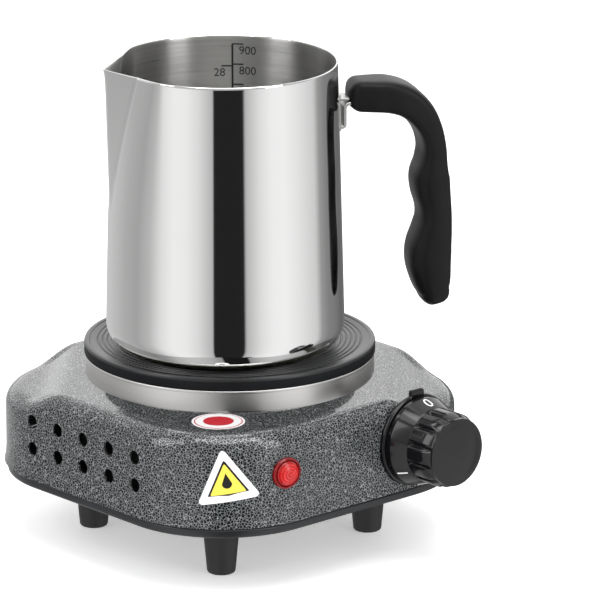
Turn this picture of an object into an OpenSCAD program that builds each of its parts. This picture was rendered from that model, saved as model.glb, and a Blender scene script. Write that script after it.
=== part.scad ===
// Candle melting pot: a pouring pitcher standing on its small electric hot plate.
// Millimetres. +Z up from the table, -Y is the knob side, -X is the vented side.

/* [Body] */
// Width and depth of the pressed housing
body_w = 165; // [150:1:180]
// Radius of the housing's corners seen from above
corner_r = 48; // [40:1:54]
// Height of the rubber feet
foot_h = 27; // [18:1:34]
// Height of the base cover's visible lip
lip_h = 4.5; // [3:0.5:8]
// Height of the housing above the lip
body_h = 39.5; // [36:0.5:46]
// Radius of the housing's top edge
edge_r = 6; // [3:0.5:8]
// How far the two ears lie below the top
ear_drop = 6.5; // [4:0.5:9]
// Width of an ear's flat, measured in from the corner
ear_flat = 9; // [6:1:14]
// Radius of the hollow that leads down to an ear
ear_r = 32; // [20:1:50]
// Thickness of the pressed sheet
sheet = 0.8; // [0.6:0.1:1.2]
// Foot axis in from the walls
foot_in = 40.5; // [36:0.5:44]
// Radius of a foot at its top
foot_r = 8.5; // [7:0.5:10]
// Radius of a foot at the table
foot_r_low = 6; // [5:0.5:8]

/* [Hot plate] */
// Radius of the cast plate
plate_r = 62.5; // [58:0.5:66]
// Visible height of the plate's rim
rim_h = 5.5; // [4:0.5:8]
// Height of the steel ring under the plate
ring_h = 9.5; // [8.5:0.5:14]
// Spacing of the rings turned in the plate
groove_pitch = 2.1; // [1.8:0.1:3]
// Width of the housing's top that carries the ring
seat_w = 12.5; // [10:0.5:15]

/* [Controls] */
// Knob axis from the plate's axis
knob_x = 31.5; // [26:0.5:36]
// Knob axis above the table
knob_z = 53; // [50:0.5:56]
// Knob face in front of the wall
knob_out = 28; // [24:0.5:34]
// Radius of the knob's skirt
knob_r = 19; // [15:0.5:21]
// Radius of the knob's grip
grip_r = 15; // [12:0.5:16]
// Radius of the plate behind the knob
bezel_r = 20; // [18:0.5:22]
// Radius of the control spindle
spindle_r = 3; // [2.5:0.5:4]
// Running clearance round the spindle
spindle_gap = 0.05; // [0.02:0.01:0.1]
// Lamp position round the front corner, in degrees from the knob's wall
lamp_turn = 8; // [0:1:14]
// Lamp height above the table
lamp_z = 53.5; // [50:0.5:58]
// Radius of the lamp's flange
lamp_r = 7; // [6:0.5:8]
// Vent hole radius
vent_r = 3; // [2:0.5:4]
// Vent spacing along the wall
vent_pitch = 16.8; // [14:0.1:18]
// Height of the lower vent row above the table
vent_z = 45.3; // [42:0.1:48]
// Vent spacing up the wall
vent_rise = 12; // [9:0.5:13]

/* [Cord inlet] */
// Height of the cord inlet above the table
cord_z = 46; // [42:1:54]
// Radius of the hole through the cord bushing
cord_r = 3.5; // [3:0.5:4]
// Bushing length outside the wall
bush_out = 12; // [8:1:16]

/* [Pot] */
// Pot height
pot_h = 124; // [110:1:140]
// Outside radius at the rim
pot_rim_r = 48; // [44:0.5:52]
// Outside radius at the base
pot_base_r = 51; // [47:0.5:55]
// Outside radius of the bottom edge
pot_edge_r = 11; // [6:0.5:16]
// Wall thickness
pot_wall = 0.8; // [0.6:0.1:1.4]
// How far the pot stands off centre, as a share of its play inside the plate's rim
pot_off = 0.42; // [0:0.02:0.9]
// Direction in which it stands off centre
pot_off_turn = 214; // [0:1:360]
// Direction of the handle
handle_turn = -28; // [-40:1:-15]
// Spout tip from the pot's axis
spout_reach = 52; // [50:0.5:60]
// Depth of the spout below the rim
spout_depth = 42; // [30:1:55]
// Spout root on each side of its middle, in degrees
spout_spread = 42; // [30:1:50]
// Radius of the spout's tip
spout_r = 3.5; // [2.5:0.5:6]
// Height of the rim above the middle of the handle's arm
arm_drop = 18.5; // [14:0.5:30]
// Width of the grip
grip_w = 23; // [18:0.5:28]

/* [Hidden] */
$fn = 96;
half = body_w / 2;
cc = half - corner_r;
ear_d = cc * sqrt(2) + corner_r - ear_flat;
foot_xy = half - foot_in;
opening_r = plate_r - seat_w;
seam_z = foot_h + lip_h;
top_z = seam_z + body_h;
roof_z = top_z - sheet;
floor_z = foot_h + sheet;
ring_top = top_z + ring_h;
plate_z = ring_top + rim_h;
axis_y = (knob_out - bush_out) / 2;
wall_in = half - sheet;
ring_r = plate_r - 0.4;
ring_t = 0.6;
under_z = top_z + 1.6;
channel_in = 22;
channel_out = plate_r - 8.5;
channel_h = 7;
coil_z = under_z + 4.4;
coil_wire = 1.2;
coil_step = (channel_out - channel_in) / 3;
coil_rs = [for (i = [0.5 : 2.5]) channel_in + i * coil_step];
stud_r = 3;
shield_t = 0.8;
shield_z = roof_z - shield_t;
bridge_t = 2;
bridge_z = shield_z - bridge_t;
washer_t = 1.4;
nut_h = 5;
pin_x = 6;
pin_r = 0.9;
pin_y = -sqrt(pow(coil_rs[1], 2) - pow(pin_x, 2));
pin_low = shield_z - 8;
gap = 0.2;
dish = 0.5;
rim_w = 2.2;
pot_foot_r = pot_base_r - pot_edge_r + sqrt(pow(pot_edge_r, 2) - pow(pot_edge_r - dish, 2));
pot_shift = pot_off * (plate_r - rim_w - pot_foot_r);
base_z = plate_z - dish;
block_y = half - 30.5;
block_h = 14;
post_r = 4.5;
screw_r = 2;
stat_t = 1.2;
stat_stand = 1.3;
stat_y = -wall_in + stat_stand + stat_t;
leaf_z = 6.6;
leaf_h = 5.5;
stat_w = 20;
stat_h = 20;
stat_d = 20;
ear_top = top_z - ear_drop;
lens_h = 1.5;
fuse_x = -opening_r / 2;
fuse_r = 2;
fuse_y = 24;
fuse_z = shield_z - fuse_r - gap;
tag_at = [-22, 18];
arm_z = pot_h - arm_drop;
lean = (pot_base_r - pot_rim_r) / (pot_h - pot_edge_r);
arm_r = wall_r(arm_z);
hitch = arm_r + 19.5;
strip_t = 1;
pad_h = 16;
pad_r = wall_r(arm_z - pad_h + 2.5) + 0.02;
tongue_w = 16;
tongue_t = 1.6;
tongue_l = 27;
head_r = 3.5;
nut_w = 7;

// Grip stations: out from the pot's wall, height from the arm, half thickness, share of the half width
stations = [
    [9.5, 0, 6.2, 0.8], [16, -0.3, 6.3, 0.9], [23, -0.8, 6.4, 0.97],
    [30, -3.2, 6.2, 1], [36, -8.5, 5.8, 1], [40.2, -15.5, 5.3, 1],
    [42.1, -23.5, 5.2, 1], [42, -30, 6.2, 1], [41.4, -36.5, 8, 1],
    [41.8, -42.5, 8, 1], [43, -49.5, 7.2, 1], [43.3, -55.5, 7.2, 1],
    [42.5, -61.5, 8.2, 1], [41.2, -68.5, 9.4, 1], [41, -74.5, 9.4, 1],
    [42, -80.5, 8.2, 0.98], [43.4, -85.5, 6.4, 0.92], [44.5, -88.7, 4.6, 0.84]];

// ---- shared shapes

module at_plate() translate([0, axis_y, 0]) children();

module at_pot() at_plate() translate([pot_shift * cos(pot_off_turn), pot_shift * sin(pot_off_turn), base_z])
    rotate([0, 0, handle_turn]) children();

module at_feet() for (sx = [-1, 1], sy = [-1, 1]) translate([sx * foot_xy, sy * foot_xy, 0]) children();

// Puts a child on the knob's wall, its +Z pointing out of the wall
module at_knob() at_plate() translate([knob_x, -half, knob_z]) rotate([90, 0, 0]) children();

module at_lamp() at_plate() translate([-cc, -cc, lamp_z]) rotate([0, 0, -lamp_turn])
    translate([0, -corner_r, 0]) rotate([90, 0, 0]) children();

module rounded_square(a, r) {
    square([2 * a, 2 * (a - r)], center = true);
    square([2 * (a - r), 2 * a], center = true);
    for (sx = [-1, 1], sy = [-1, 1]) translate([sx * (a - r), sy * (a - r)]) circle(r);
}

// Half of a section with a rounded upper corner, as wide as w
module edge_section(w, h, r) {
    square([w, h - r]);
    square([w - r, h]);
    translate([w - r, h - r]) circle(r);
}

// Rounded-square block whose top edge is rounded as well
module pillow(a, rc, h, r) {
    for (sx = [-1, 1], sy = [-1, 1]) translate([sx * (a - rc), sy * (a - rc), 0])
        rotate_extrude() edge_section(rc, h, r);
    for (turn = [0, 90]) rotate([0, 0, turn]) rotate([90, 0, 0])
        linear_extrude(2 * (a - rc), center = true) for (s = [0, 1]) mirror([s, 0]) edge_section(a, h, r);
}

// What is taken off the top at the two ears; grow leaves the sheet's thickness
module ear_cut(grow) for (turn = [135, -45]) rotate([0, 0, turn]) translate([ear_d, 0, 0]) {
    translate([0, 0, ear_top + ear_r]) rotate([90, 0, 0]) cylinder(r = ear_r + grow, h = 200, center = true);
    translate([0, -100, ear_top - grow]) cube([40, 200, 60]);
}

module ring(r_out, r_in, h) difference() {
    cylinder(r = r_out, h = h);
    translate([0, 0, -1]) cylinder(r = r_in, h = h + 2);
}

module rod(a, b, r) {
    d = b - a;
    translate(a) rotate([0, acos(d[2] / norm(d)), atan2(d[1], d[0])]) cylinder(r = r, h = norm(d), $fn = 24);
}

module wire(pts, r) for (i = [0 : len(pts) - 2]) {
    rod(pts[i], pts[i + 1], r);
    if (i < len(pts) - 2) translate(pts[i + 1]) sphere(r * 1.06, $fn = 24);
}

// ---- housing and base

module housing() color("dimgray") at_plate() difference() {
    difference() {
        translate([0, 0, seam_z]) pillow(half, corner_r, body_h, edge_r);
        ear_cut(0);
    }
    difference() {
        translate([0, 0, seam_z - 1]) pillow(wall_in, corner_r - sheet, body_h + 1 - sheet, edge_r - sheet);
        ear_cut(sheet);
    }
    translate([0, 0, roof_z - 1]) cylinder(r = opening_r, h = 5);
    for (i = [-2 : 2], j = [0, 1]) translate([0, i * vent_pitch, vent_z + j * vent_rise])
        rotate([0, 90, 0]) cylinder(r = vent_r, h = 2 * half + 4, center = true, $fn = 48);
    translate([knob_x, -half + 2, knob_z]) rotate([90, 0, 0]) cylinder(r = 4.6, h = 5);
    for (s = [-1, 1]) translate([knob_x + s * 11, -half + 2, knob_z]) rotate([90, 0, 0])
        cylinder(r = 1.6, h = 5, $fn = 32);
    translate([-cc, -cc, lamp_z]) rotate([0, 0, -lamp_turn]) translate([0, -corner_r + 3, 0])
        rotate([90, 0, 0]) cylinder(r = 5.1, h = 6);
    translate([0, half + 2, cord_z]) rotate([90, 0, 0]) cylinder(r = 6, h = 5);
}

module base_cover() color("black") at_plate() difference() {
    union() {
        translate([0, 0, foot_h]) linear_extrude(lip_h) rounded_square(half - 0.5, corner_r - 0.5);
        translate([0, 0, foot_h + 1]) linear_extrude(lip_h + 4) rounded_square(wall_in - gap, corner_r - sheet - gap);
    }
    translate([0, 0, floor_z]) linear_extrude(lip_h + 6)
        rounded_square(wall_in - gap - sheet, corner_r - 2 * sheet - gap);
    at_feet() translate([0, 0, foot_h - 1]) cylinder(r = screw_r + 0.2, h = 4, $fn = 48);
    translate([tag_at[0], tag_at[1], foot_h - 1]) cylinder(r = 1.7, h = 4, $fn = 48);
}

module foot() color("#181818") difference() {
    rotate_extrude() {
        polygon([[0, 0], [foot_r_low - 1.5, 0], [foot_r_low - 1.5, 1.5], [foot_r_low, 1.5],
            [foot_r, foot_h], [0, foot_h]]);
        translate([foot_r_low - 1.5, 1.5]) circle(1.5, $fn = 32);
    }
    translate([0, 0, -1]) cylinder(r = 3.7, h = 17);
    cylinder(r = screw_r + 0.2, h = foot_h + 1, $fn = 48);
}

module foot_fl() at_plate() translate([-foot_xy, -foot_xy, 0]) foot();
module foot_fr() at_plate() translate([foot_xy, -foot_xy, 0]) foot();
module foot_rl() at_plate() translate([-foot_xy, foot_xy, 0]) foot();
module foot_rr() at_plate() translate([foot_xy, foot_xy, 0]) foot();

module foot_screws() color("silver") at_plate() at_feet() difference() {
    union() {
        translate([0, 0, 13.6]) cylinder(r = 3.4, h = 2.4);
        translate([0, 0, 15]) cylinder(r = screw_r, h = 25, $fn = 48);
    }
    translate([0, 0, 14]) for (turn = [0, 90]) rotate([0, 0, turn]) cube([4, 0.8, 2], center = true);
}

module cover_posts() color("silver") at_plate() at_feet() translate([0, 0, floor_z])
    ring(post_r, screw_r + 0.1, roof_z - floor_z);

// ---- hot plate

module hotplate() color("#202020") at_plate() difference() {
    rotate_extrude() difference() {
        union() {
            translate([0, ring_top]) square([plate_r, rim_h]);
            translate([0, under_z]) square([plate_r - 1.7, ring_h]);
        }
        translate([0, plate_z - dish]) square([plate_r - rim_w, 2]);
        for (r = [14 : groove_pitch : plate_r - 5]) translate([r, plate_z - dish - 0.4]) square([1, 2]);
        translate([channel_in, under_z - 1]) square([channel_out - channel_in, channel_h + 1]);
    }
    translate([0, 0, under_z - 1]) cylinder(r = stud_r + 0.05, h = 10.4, $fn = 48);
}

module plate_ring() color("silver") at_plate() translate([0, 0, top_z]) {
    ring(ring_r, ring_r - ring_t, ring_h);
    ring(ring_r, ring_r - 5, ring_t);
}

module plate_stud() color("silver") at_plate() translate([0, 0, bridge_z - washer_t - nut_h - 2])
    cylinder(r = stud_r, h = under_z + 9 - (bridge_z - washer_t - nut_h - 2), $fn = 48);

module coil_pins(r, low) for (s = [-1, 1]) translate([s * pin_x, pin_y, low])
    cylinder(r = r, h = coil_z - low, $fn = 32);

module coil() {
    for (r = coil_rs) rotate_extrude() translate([r, coil_z]) circle(coil_wire, $fn = 32);
    for (i = [0, 1]) translate([0, (coil_rs[i] + coil_rs[i + 1]) / 2, coil_z]) rotate([90, 0, 0])
        cylinder(r = coil_wire * 0.7, h = coil_step - 1, center = true, $fn = 32);
    coil_pins(pin_r, pin_low);
}

module element_coil() color("peru") at_plate() coil();

module element_insulation() color("white") at_plate() difference() {
    translate([0, 0, under_z + 1]) ring(channel_out - 0.1, channel_in + 0.1, channel_h - 1.1);
    for (r = coil_rs) rotate_extrude() translate([r, coil_z]) circle(coil_wire + 0.05, $fn = 32);
    for (i = [0, 1]) translate([0, (coil_rs[i] + coil_rs[i + 1]) / 2, coil_z]) rotate([90, 0, 0])
        cylinder(r = coil_wire, h = coil_step - 1, center = true, $fn = 32);
    coil_pins(pin_r + 0.1, under_z - 1);
}

module element_cover() color("silver") at_plate() difference() {
    translate([0, 0, under_z - sheet]) ring(channel_out + 4, stud_r + 0.3, sheet);
    coil_pins(pin_r + 1.3, under_z - 2);
}

module heat_shield() color("gainsboro") at_plate() difference() {
    translate([0, 0, shield_z]) ring(opening_r + 4, stud_r + 0.3, shield_t);
    coil_pins(pin_r + 1.3, shield_z - 1);
}

module clamp_bridge() color("silver") at_plate() difference() {
    translate([0, 0, bridge_z + bridge_t / 2]) cube([2 * opening_r + 10, 16, bridge_t], center = true);
    translate([0, 0, bridge_z - 1]) cylinder(r = stud_r + 0.3, h = 5, $fn = 48);
}

module clamp_washer() color("silver") at_plate() translate([0, 0, bridge_z - washer_t]) ring(7, stud_r + 0.2, washer_t);

module clamp_nut() color("silver") at_plate() translate([0, 0, bridge_z - washer_t - nut_h]) difference() {
    linear_extrude(nut_h) circle(5.8, $fn = 6);
    translate([0, 0, -1]) cylinder(r = stud_r + 0.05, h = 8, $fn = 48);
}

// ---- thermostat and knob

module thermostat_plate() color("silver") at_plate() difference() {
    translate([knob_x, stat_y - stat_t / 2, knob_z]) cube([stat_w + 6, stat_t, stat_h], center = true);
    translate([knob_x, stat_y + 1, knob_z]) rotate([90, 0, 0]) cylinder(r = 4.5, h = 5);
    for (s = [-1, 1]) translate([knob_x + s * 11, stat_y + 1, knob_z]) rotate([90, 0, 0])
        cylinder(r = 1.6, h = 5, $fn = 32);
}

module thermostat_body() color("ivory") at_plate() difference() {
    translate([knob_x, stat_y + stat_d / 2, knob_z]) cube([14, stat_d, stat_h], center = true);
    translate([knob_x, stat_y + 16, knob_z]) rotate([90, 0, 0]) cylinder(r = spindle_r + 0.4, h = 20, $fn = 48);
    for (s = [-1, 1]) translate([knob_x, leaf_y(s), knob_z + s * leaf_z]) cube([16, 1, leaf_h + 2 * gap], center = true);
}

function leaf_y(s) = stat_y + stat_d / 2 + s * 5;

module thermostat_leaves() color("goldenrod") at_plate() for (s = [-1, 1])
    translate([knob_x - 4, leaf_y(s), knob_z + s * leaf_z]) cube([28, 0.6, leaf_h], center = true);

module bimetal_strip() color("darkgoldenrod") at_plate() translate([knob_x, stat_y + stat_d + 0.6, knob_z])
    cube([22, 1, 8], center = true);

module thermostat_screws() color("silver") at_knob() for (s = [-1, 1]) translate([s * 11, 0, 0]) {
    translate([0, 0, -6]) cylinder(r = 1.5, h = 6.1, $fn = 32);
    cylinder(r = 2.8, h = 1.2, $fn = 48);
}

// Threaded neck with a shoulder that stands the plate off the wall
module thermostat_bush() color("gold") at_knob() difference() {
    translate([0, 0, -sheet - stat_stand]) {
        translate([0, 0, -stat_t]) cylinder(r = 4.4, h = stat_t + stat_stand + sheet + 6.8);
        cylinder(r = 6, h = stat_stand - 0.15);
    }
    translate([0, 0, -10]) cylinder(r = spindle_r + spindle_gap, h = 30);
}

module bush_nut() color("silver") at_knob() translate([0, 0, 2.2]) difference() {
    linear_extrude(2.5) circle(7, $fn = 6);
    translate([0, 0, -1]) cylinder(r = 4.5, h = 5);
}

module knob_bezel() color("#202020") at_knob() translate([0, 0, 0.2]) difference() {
    union() {
        cylinder(r = bezel_r, h = 2);
        translate([0, bezel_r, 1]) cube([7, 4.4, 2], center = true);
    }
    translate([0, 0, -1]) cylinder(r = 4.6, h = 4);
    for (s = [-1, 1]) translate([s * 11, 0, -1]) cylinder(r = 3.1, h = 4);
}

module knob_spindle() color("silver") at_knob() translate([0, 0, -14]) cylinder(r = spindle_r, h = knob_out + 8, $fn = 48);

module knob() color("#101010") at_knob() difference() {
    union() {
        translate([0, 0, 2.8]) cylinder(r = knob_r, h = 3);
        translate([0, 0, 5.8]) cylinder(r1 = knob_r, r2 = grip_r + 1.5, h = 7);
        intersection() {
            translate([0, 0, 8]) cylinder(r = grip_r, h = knob_out - 8);
            translate([0, 0, knob_out - 70]) sphere(70, $fn = 180);
        }
        for (i = [0 : 11]) rotate([0, 0, i * 30]) translate([grip_r - 0.6, 0, 8]) {
            cylinder(r = 2, h = knob_out - 12.5, $fn = 32);
            translate([0, 0, knob_out - 12.5]) sphere(2, $fn = 32);
        }
    }
    translate([0, 0, 0]) cylinder(r = 9, h = 9);
    translate([0, 0, 1]) ring(knob_r - 1.8, 11, 6);
    cylinder(r = spindle_r, h = knob_out - 6, $fn = 48);
}

// ---- lamp

module lamp_lens() color("red") at_lamp() difference() {
    union() {
        cylinder(r = lamp_r, h = lens_h);
        intersection() {
            translate([0, 0, lens_h + 2.6 - 8.2]) sphere(8.2);
            translate([0, 0, lens_h - 0.5]) cylinder(r = lamp_r, h = 4);
        }
        translate([0, 0, -12]) cylinder(r = 4.9, h = 13);
    }
    translate([0, 0, -13]) cylinder(r = 3.9, h = 14.4);
}

module lamp_tube() color("orange") at_lamp() translate([0, 0, -12]) {
    cylinder(r = 2.4, h = 9, $fn = 48);
    translate([0, 0, 9]) sphere(2.4, $fn = 48);
    for (s = [-1, 1]) translate([s * 1.2, 0, -5]) cylinder(r = 0.4, h = 5.5, $fn = 24);
}

module lamp_clip() color("silver") at_lamp() translate([0, 0, -3.2]) ring(6.8, 5, 0.6);

// ---- wiring

module thermal_fuse() color("silver") at_plate() translate([fuse_x, fuse_y, fuse_z]) rotate([90, 0, 0]) {
    cylinder(r = fuse_r, h = 12, center = true, $fn = 48);
    cylinder(r = 0.5, h = 26, center = true, $fn = 24);
}

module fuse_clip() color("silver") at_plate() translate([fuse_x, fuse_y + 1, 0]) difference() {
    translate([-4, -3, fuse_z - 3.4]) cube([8, 4, shield_z - fuse_z + 3.4]);
    translate([-3.2, -4, fuse_z - 2.6]) cube([6.4, 6, shield_z - fuse_z + 4]);
}

module terminal_block() color("ivory") at_plate() difference() {
    translate([-17, block_y - 8, floor_z]) cube([34, 16, block_h]);
    for (x = [-10, 0, 10]) translate([x, block_y, floor_z + 5]) {
        rotate([90, 0, 0]) cylinder(r = 2.2, h = 18, center = true, $fn = 48);
        for (s = [-1, 1]) translate([0, s * 4.5, 0]) cylinder(r = 2.1, h = 12, $fn = 48);
    }
}

module terminal_screws() color("gold") at_plate() for (x = [-10, 0, 10], s = [-1, 1])
    translate([x, block_y + s * 4.5, floor_z + 7.6]) cylinder(r = 2, h = 5, $fn = 48);

module earth_tag() color("gold") at_plate() translate([tag_at[0], tag_at[1], floor_z]) difference() {
    union() {
        cylinder(r = 4, h = 0.6);
        translate([0, -2, 0]) cube([10, 4, 0.6]);
    }
    translate([0, 0, -1]) cylinder(r = 1.7, h = 4, $fn = 48);
}

module earth_screw() color("silver") at_plate() translate([tag_at[0], tag_at[1], 0]) {
    translate([0, 0, foot_h - 3]) cylinder(r = 1.5, h = 4.4, $fn = 32);
    translate([0, 0, floor_z + 0.6]) cylinder(r = 3, h = 2);
}

module live_wire() color("sienna") at_plate() wire([[10, block_y + 4, floor_z + 5],
    [10, block_y - 18, floor_z + 5], [8, -30, 36], [knob_x - 20, stat_y + 2, knob_z - 16],
    [knob_x - 19.4, leaf_y(-1), knob_z - leaf_z - leaf_h / 2 - gap]], 1.3);

module switched_wire() color("sienna") at_plate() wire([[knob_x - 16, leaf_y(1) + 1.8, knob_z + leaf_z - 1],
    [knob_x - 16, pin_y - 10, pin_low - 6], [pin_x, pin_y, pin_low - 6], [pin_x, pin_y, pin_low - gap]], 1.3);

module neutral_wire() color("royalblue") at_plate() wire([[-10, block_y + 4, floor_z + 5],
    [-10, block_y - 14, floor_z + 5], [fuse_x, fuse_y + 18, 54], [fuse_x, fuse_y + 14, fuse_z]], 1.3);

module fuse_wire() color("royalblue") at_plate() wire([[fuse_x, fuse_y - 13.2, fuse_z], [fuse_x, 3, fuse_z - 7],
    [-pin_x, pin_y, pin_low - 6], [-pin_x, pin_y, pin_low - gap]], 1.3);

module earth_wire() color("olive") at_plate() wire([[0, block_y + 4, floor_z + 5], [0, block_y - 20, floor_z + 5],
    [tag_at[0] + 8, tag_at[1], floor_z + 4], [tag_at[0] + 8, tag_at[1], floor_z + 0.8]], 1.3);

// A point inside the wall behind the lamp, side to the right of its axis
function behind_lamp(depth, side) = [
    -cc - (corner_r - depth) * sin(lamp_turn) + side * cos(lamp_turn),
    -cc - (corner_r - depth) * cos(lamp_turn) - side * sin(lamp_turn), lamp_z];

module lamp_wires() color("white") at_plate() for (s = [-1, 1])
    wire([behind_lamp(17.3, s * 1.2), [-foot_xy + 13 + s * 2, -foot_xy / 2, 46 + s * 2],
        [-foot_xy + 13 + s * 2, block_y - 30, 46 + s * 2], [-24, block_y - 12 + s * 3, floor_z + 9 + s * 3],
        [-17.9, block_y + s * 3, floor_z + 9 + s * 3]], 0.7);

module cord_bushing() color("#181818") at_plate() translate([0, half, cord_z]) rotate([-90, 0, 0]) difference() {
    union() {
        translate([0, 0, -5]) cylinder(r = 5.8, h = 6);
        cylinder(r = 8, h = 3);
        translate([0, 0, 3]) cylinder(r1 = 7, r2 = 5.4, h = bush_out - 3);
        translate([0, 0, -5]) cylinder(r1 = 6, r2 = 7, h = 3.8);
    }
    translate([0, 0, -6]) cylinder(r = cord_r, h = bush_out + 7);
}

// ---- labels

module warning_label() color("gold") at_plate() intersection() {
    translate([-cc, -cc, 0]) ring(corner_r + 0.15, corner_r, top_z);
    translate([-cc, -cc, lamp_z - 4.5]) rotate([0, 0, -39]) rotate([90, 0, 0]) rotate([0, 0, 8])
        linear_extrude(60) hull() for (i = [0 : 2]) rotate([0, 0, 90 + i * 120]) translate([13.4, 0]) circle(1.2, $fn = 24);
}

module round_label() color("white") at_plate() rotate([0, 0, -135]) translate([73.6, 0, top_z])
    cylinder(r = 11.2, h = 0.15);

// ---- pot

// Outside radius of the leaning side at a height above the pot's foot
function wall_r(z) = pot_base_r - lean * (z - pot_edge_r);

// The pot as a filled shape, shrunk by t; it runs on above the rim and is cut there
module pot_solid(t) {
    rotate_extrude($fn = 160) {
        translate([0, t]) square([pot_base_r - pot_edge_r, pot_edge_r]);
        translate([pot_base_r - pot_edge_r, pot_edge_r]) intersection() {
            circle(pot_edge_r - t);
            translate([0, -pot_edge_r]) square(pot_edge_r);
        }
        polygon([[0, pot_edge_r - 1], [pot_base_r - pot_edge_r, pot_edge_r - 1], [pot_base_r - t, pot_edge_r],
            [wall_r(pot_h + 6) - t, pot_h + 6], [0, pot_h + 6]]);
    }
    hull() {
        translate([spout_r - spout_reach, 0, pot_h - 3]) cylinder(r = spout_r - t, h = 7, $fn = 36);
        for (s = [-1, 1]) rotate([0, 0, 180 + s * spout_spread]) translate([pot_rim_r - 2.3, 0, pot_h - 3])
            cylinder(r = 2 - t, h = 7, $fn = 16);
        translate([2.6 - wall_r(pot_h - spout_depth), 0, pot_h - spout_depth]) cylinder(r = 2 - t, h = 1, $fn = 16);
    }
}

module pot_shell() color("silver") at_pot() difference() {
    pot_solid(0);
    pot_solid(pot_wall);
    translate([0, 0, pot_h]) cylinder(r = 80, h = 20);
}

// Curved pad on the wall, a tongue into the grip and a stay below it
module handle_bracket() color("silver") at_pot() difference() {
    union() {
        intersection() {
            translate([0, 0, arm_z - pad_h + 2.5]) difference() {
                cylinder(r = pad_r + strip_t, h = pad_h);
                translate([0, 0, -1]) cylinder(r = pad_r, h = pad_h + 2);
            }
            translate([0, -tongue_w / 2 - 1, arm_z - pad_h + 2.5]) cube([80, tongue_w + 2, pad_h]);
        }
        for (z = [-1, -12]) translate([pad_r + strip_t / 2, -tongue_w / 2, arm_z + z])
            cube([z == -1 ? tongue_l - 2 : 5, tongue_w, tongue_t]);
        translate([pad_r + 3.5, -tongue_w / 2, arm_z - 12]) cube([tongue_t, tongue_w, 12]);
    }
    translate([hitch, 0, arm_z - 3]) cylinder(r = screw_r + 0.2, h = 6, $fn = 48);
}

module grip_station(q) translate([arm_r + q[0], 0, arm_z + q[1]])
    scale([q[2], grip_w / 2 * q[3], q[2]]) sphere(1, $fn = 24);

module handle_grip() color("#151515") at_pot() difference() {
    for (i = [0 : len(stations) - 2]) hull() {
        grip_station(stations[i]);
        grip_station(stations[i + 1]);
    }
    translate([arm_r, -tongue_w / 2 - gap, arm_z - gap - 1]) cube([tongue_l + 2, tongue_w + 2 * gap, tongue_t + 2 * gap]);
    translate([hitch, 0, arm_z - 5]) cylinder(r = screw_r + 0.2, h = 5, $fn = 24);
    translate([hitch, 0, arm_z - 12]) cylinder(r = head_r + 0.3, h = 8, $fn = 24);
    translate([hitch - nut_w / 2 - 0.1, -nut_w / 2 - 0.1, arm_z + 0.7]) cube([nut_w + 0.2, nut_w + 0.2, 2.8]);
    translate([arm_r - 20, -20, arm_z - 20]) cube([26.2, 40, 40]);
}

module handle_screw() color("silver") at_pot() translate([hitch, 0, 0]) {
    translate([0, 0, arm_z - 6.4]) cylinder(r = head_r, h = 2.2, $fn = 48);
    translate([0, 0, arm_z - 5]) cylinder(r = screw_r, h = 8, $fn = 48);
}

module handle_nut() color("silver") at_pot() translate([hitch, 0, arm_z + 0.8]) difference() {
    translate([-nut_w / 2, -nut_w / 2, 0]) cube([nut_w, nut_w, 2.4]);
    translate([0, 0, -1]) cylinder(r = screw_r + 0.05, h = 5, $fn = 48);
}

housing();
base_cover();
foot_fl();
foot_fr();
foot_rl();
foot_rr();
foot_screws();
cover_posts();
hotplate();
plate_ring();
plate_stud();
element_coil();
element_insulation();
element_cover();
heat_shield();
clamp_bridge();
clamp_washer();
clamp_nut();
thermostat_plate();
thermostat_body();
thermostat_leaves();
bimetal_strip();
thermostat_screws();
thermostat_bush();
bush_nut();
knob_spindle();
knob();
knob_bezel();
lamp_lens();
lamp_tube();
lamp_clip();
thermal_fuse();
fuse_clip();
terminal_block();
terminal_screws();
earth_tag();
earth_screw();
live_wire();
switched_wire();
neutral_wire();
fuse_wire();
earth_wire();
lamp_wires();
cord_bushing();
warning_label();
round_label();
pot_shell();
handle_bracket();
handle_grip();
handle_screw();
handle_nut();
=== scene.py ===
import math

import bmesh
import bpy
from mathutils import Matrix, Vector


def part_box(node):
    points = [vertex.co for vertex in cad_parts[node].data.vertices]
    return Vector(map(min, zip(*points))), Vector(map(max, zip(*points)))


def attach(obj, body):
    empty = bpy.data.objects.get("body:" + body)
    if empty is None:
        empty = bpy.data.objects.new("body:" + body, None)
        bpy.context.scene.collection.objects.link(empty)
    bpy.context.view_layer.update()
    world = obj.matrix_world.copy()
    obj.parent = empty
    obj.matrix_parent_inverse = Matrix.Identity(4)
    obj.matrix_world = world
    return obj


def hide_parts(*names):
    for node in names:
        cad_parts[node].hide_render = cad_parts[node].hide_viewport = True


# Lengths are written in millimetres and angles in degrees; newObject turns them into metres.
mm = 0.001
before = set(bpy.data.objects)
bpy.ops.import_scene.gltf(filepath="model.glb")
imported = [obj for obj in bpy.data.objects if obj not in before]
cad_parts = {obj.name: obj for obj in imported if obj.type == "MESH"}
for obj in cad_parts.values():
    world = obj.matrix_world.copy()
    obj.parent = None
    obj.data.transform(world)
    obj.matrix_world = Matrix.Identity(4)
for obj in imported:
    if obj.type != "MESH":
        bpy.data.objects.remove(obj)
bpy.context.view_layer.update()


def boxOf(node):
    low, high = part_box(node)
    return low / mm, high / mm


def middle(node):
    low, high = boxOf(node)
    return (low + high) / 2


def direction(turn):
    return Vector((math.cos(math.radians(turn)), math.sin(math.radians(turn)), 0))


def ease(share):
    share = min(1, max(0, share))
    return share * share * (3 - 2 * share)


housingLow, housingHigh = boxOf("housing")
plateAxis = Vector((0, middle("housing").y, 0))
half = (housingHigh.x - housingLow.x) / 2
topZ = housingHigh.z
seamZ = housingLow.z
floorZ = boxOf("base_cover")[0].z
potLow, potHigh = boxOf("pot_shell")
potAxis = Vector((*middle("pot_shell").xy, potLow.z))
print("frame loaded, housing half width", round(half, 2))


# ---- shader maths

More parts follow.
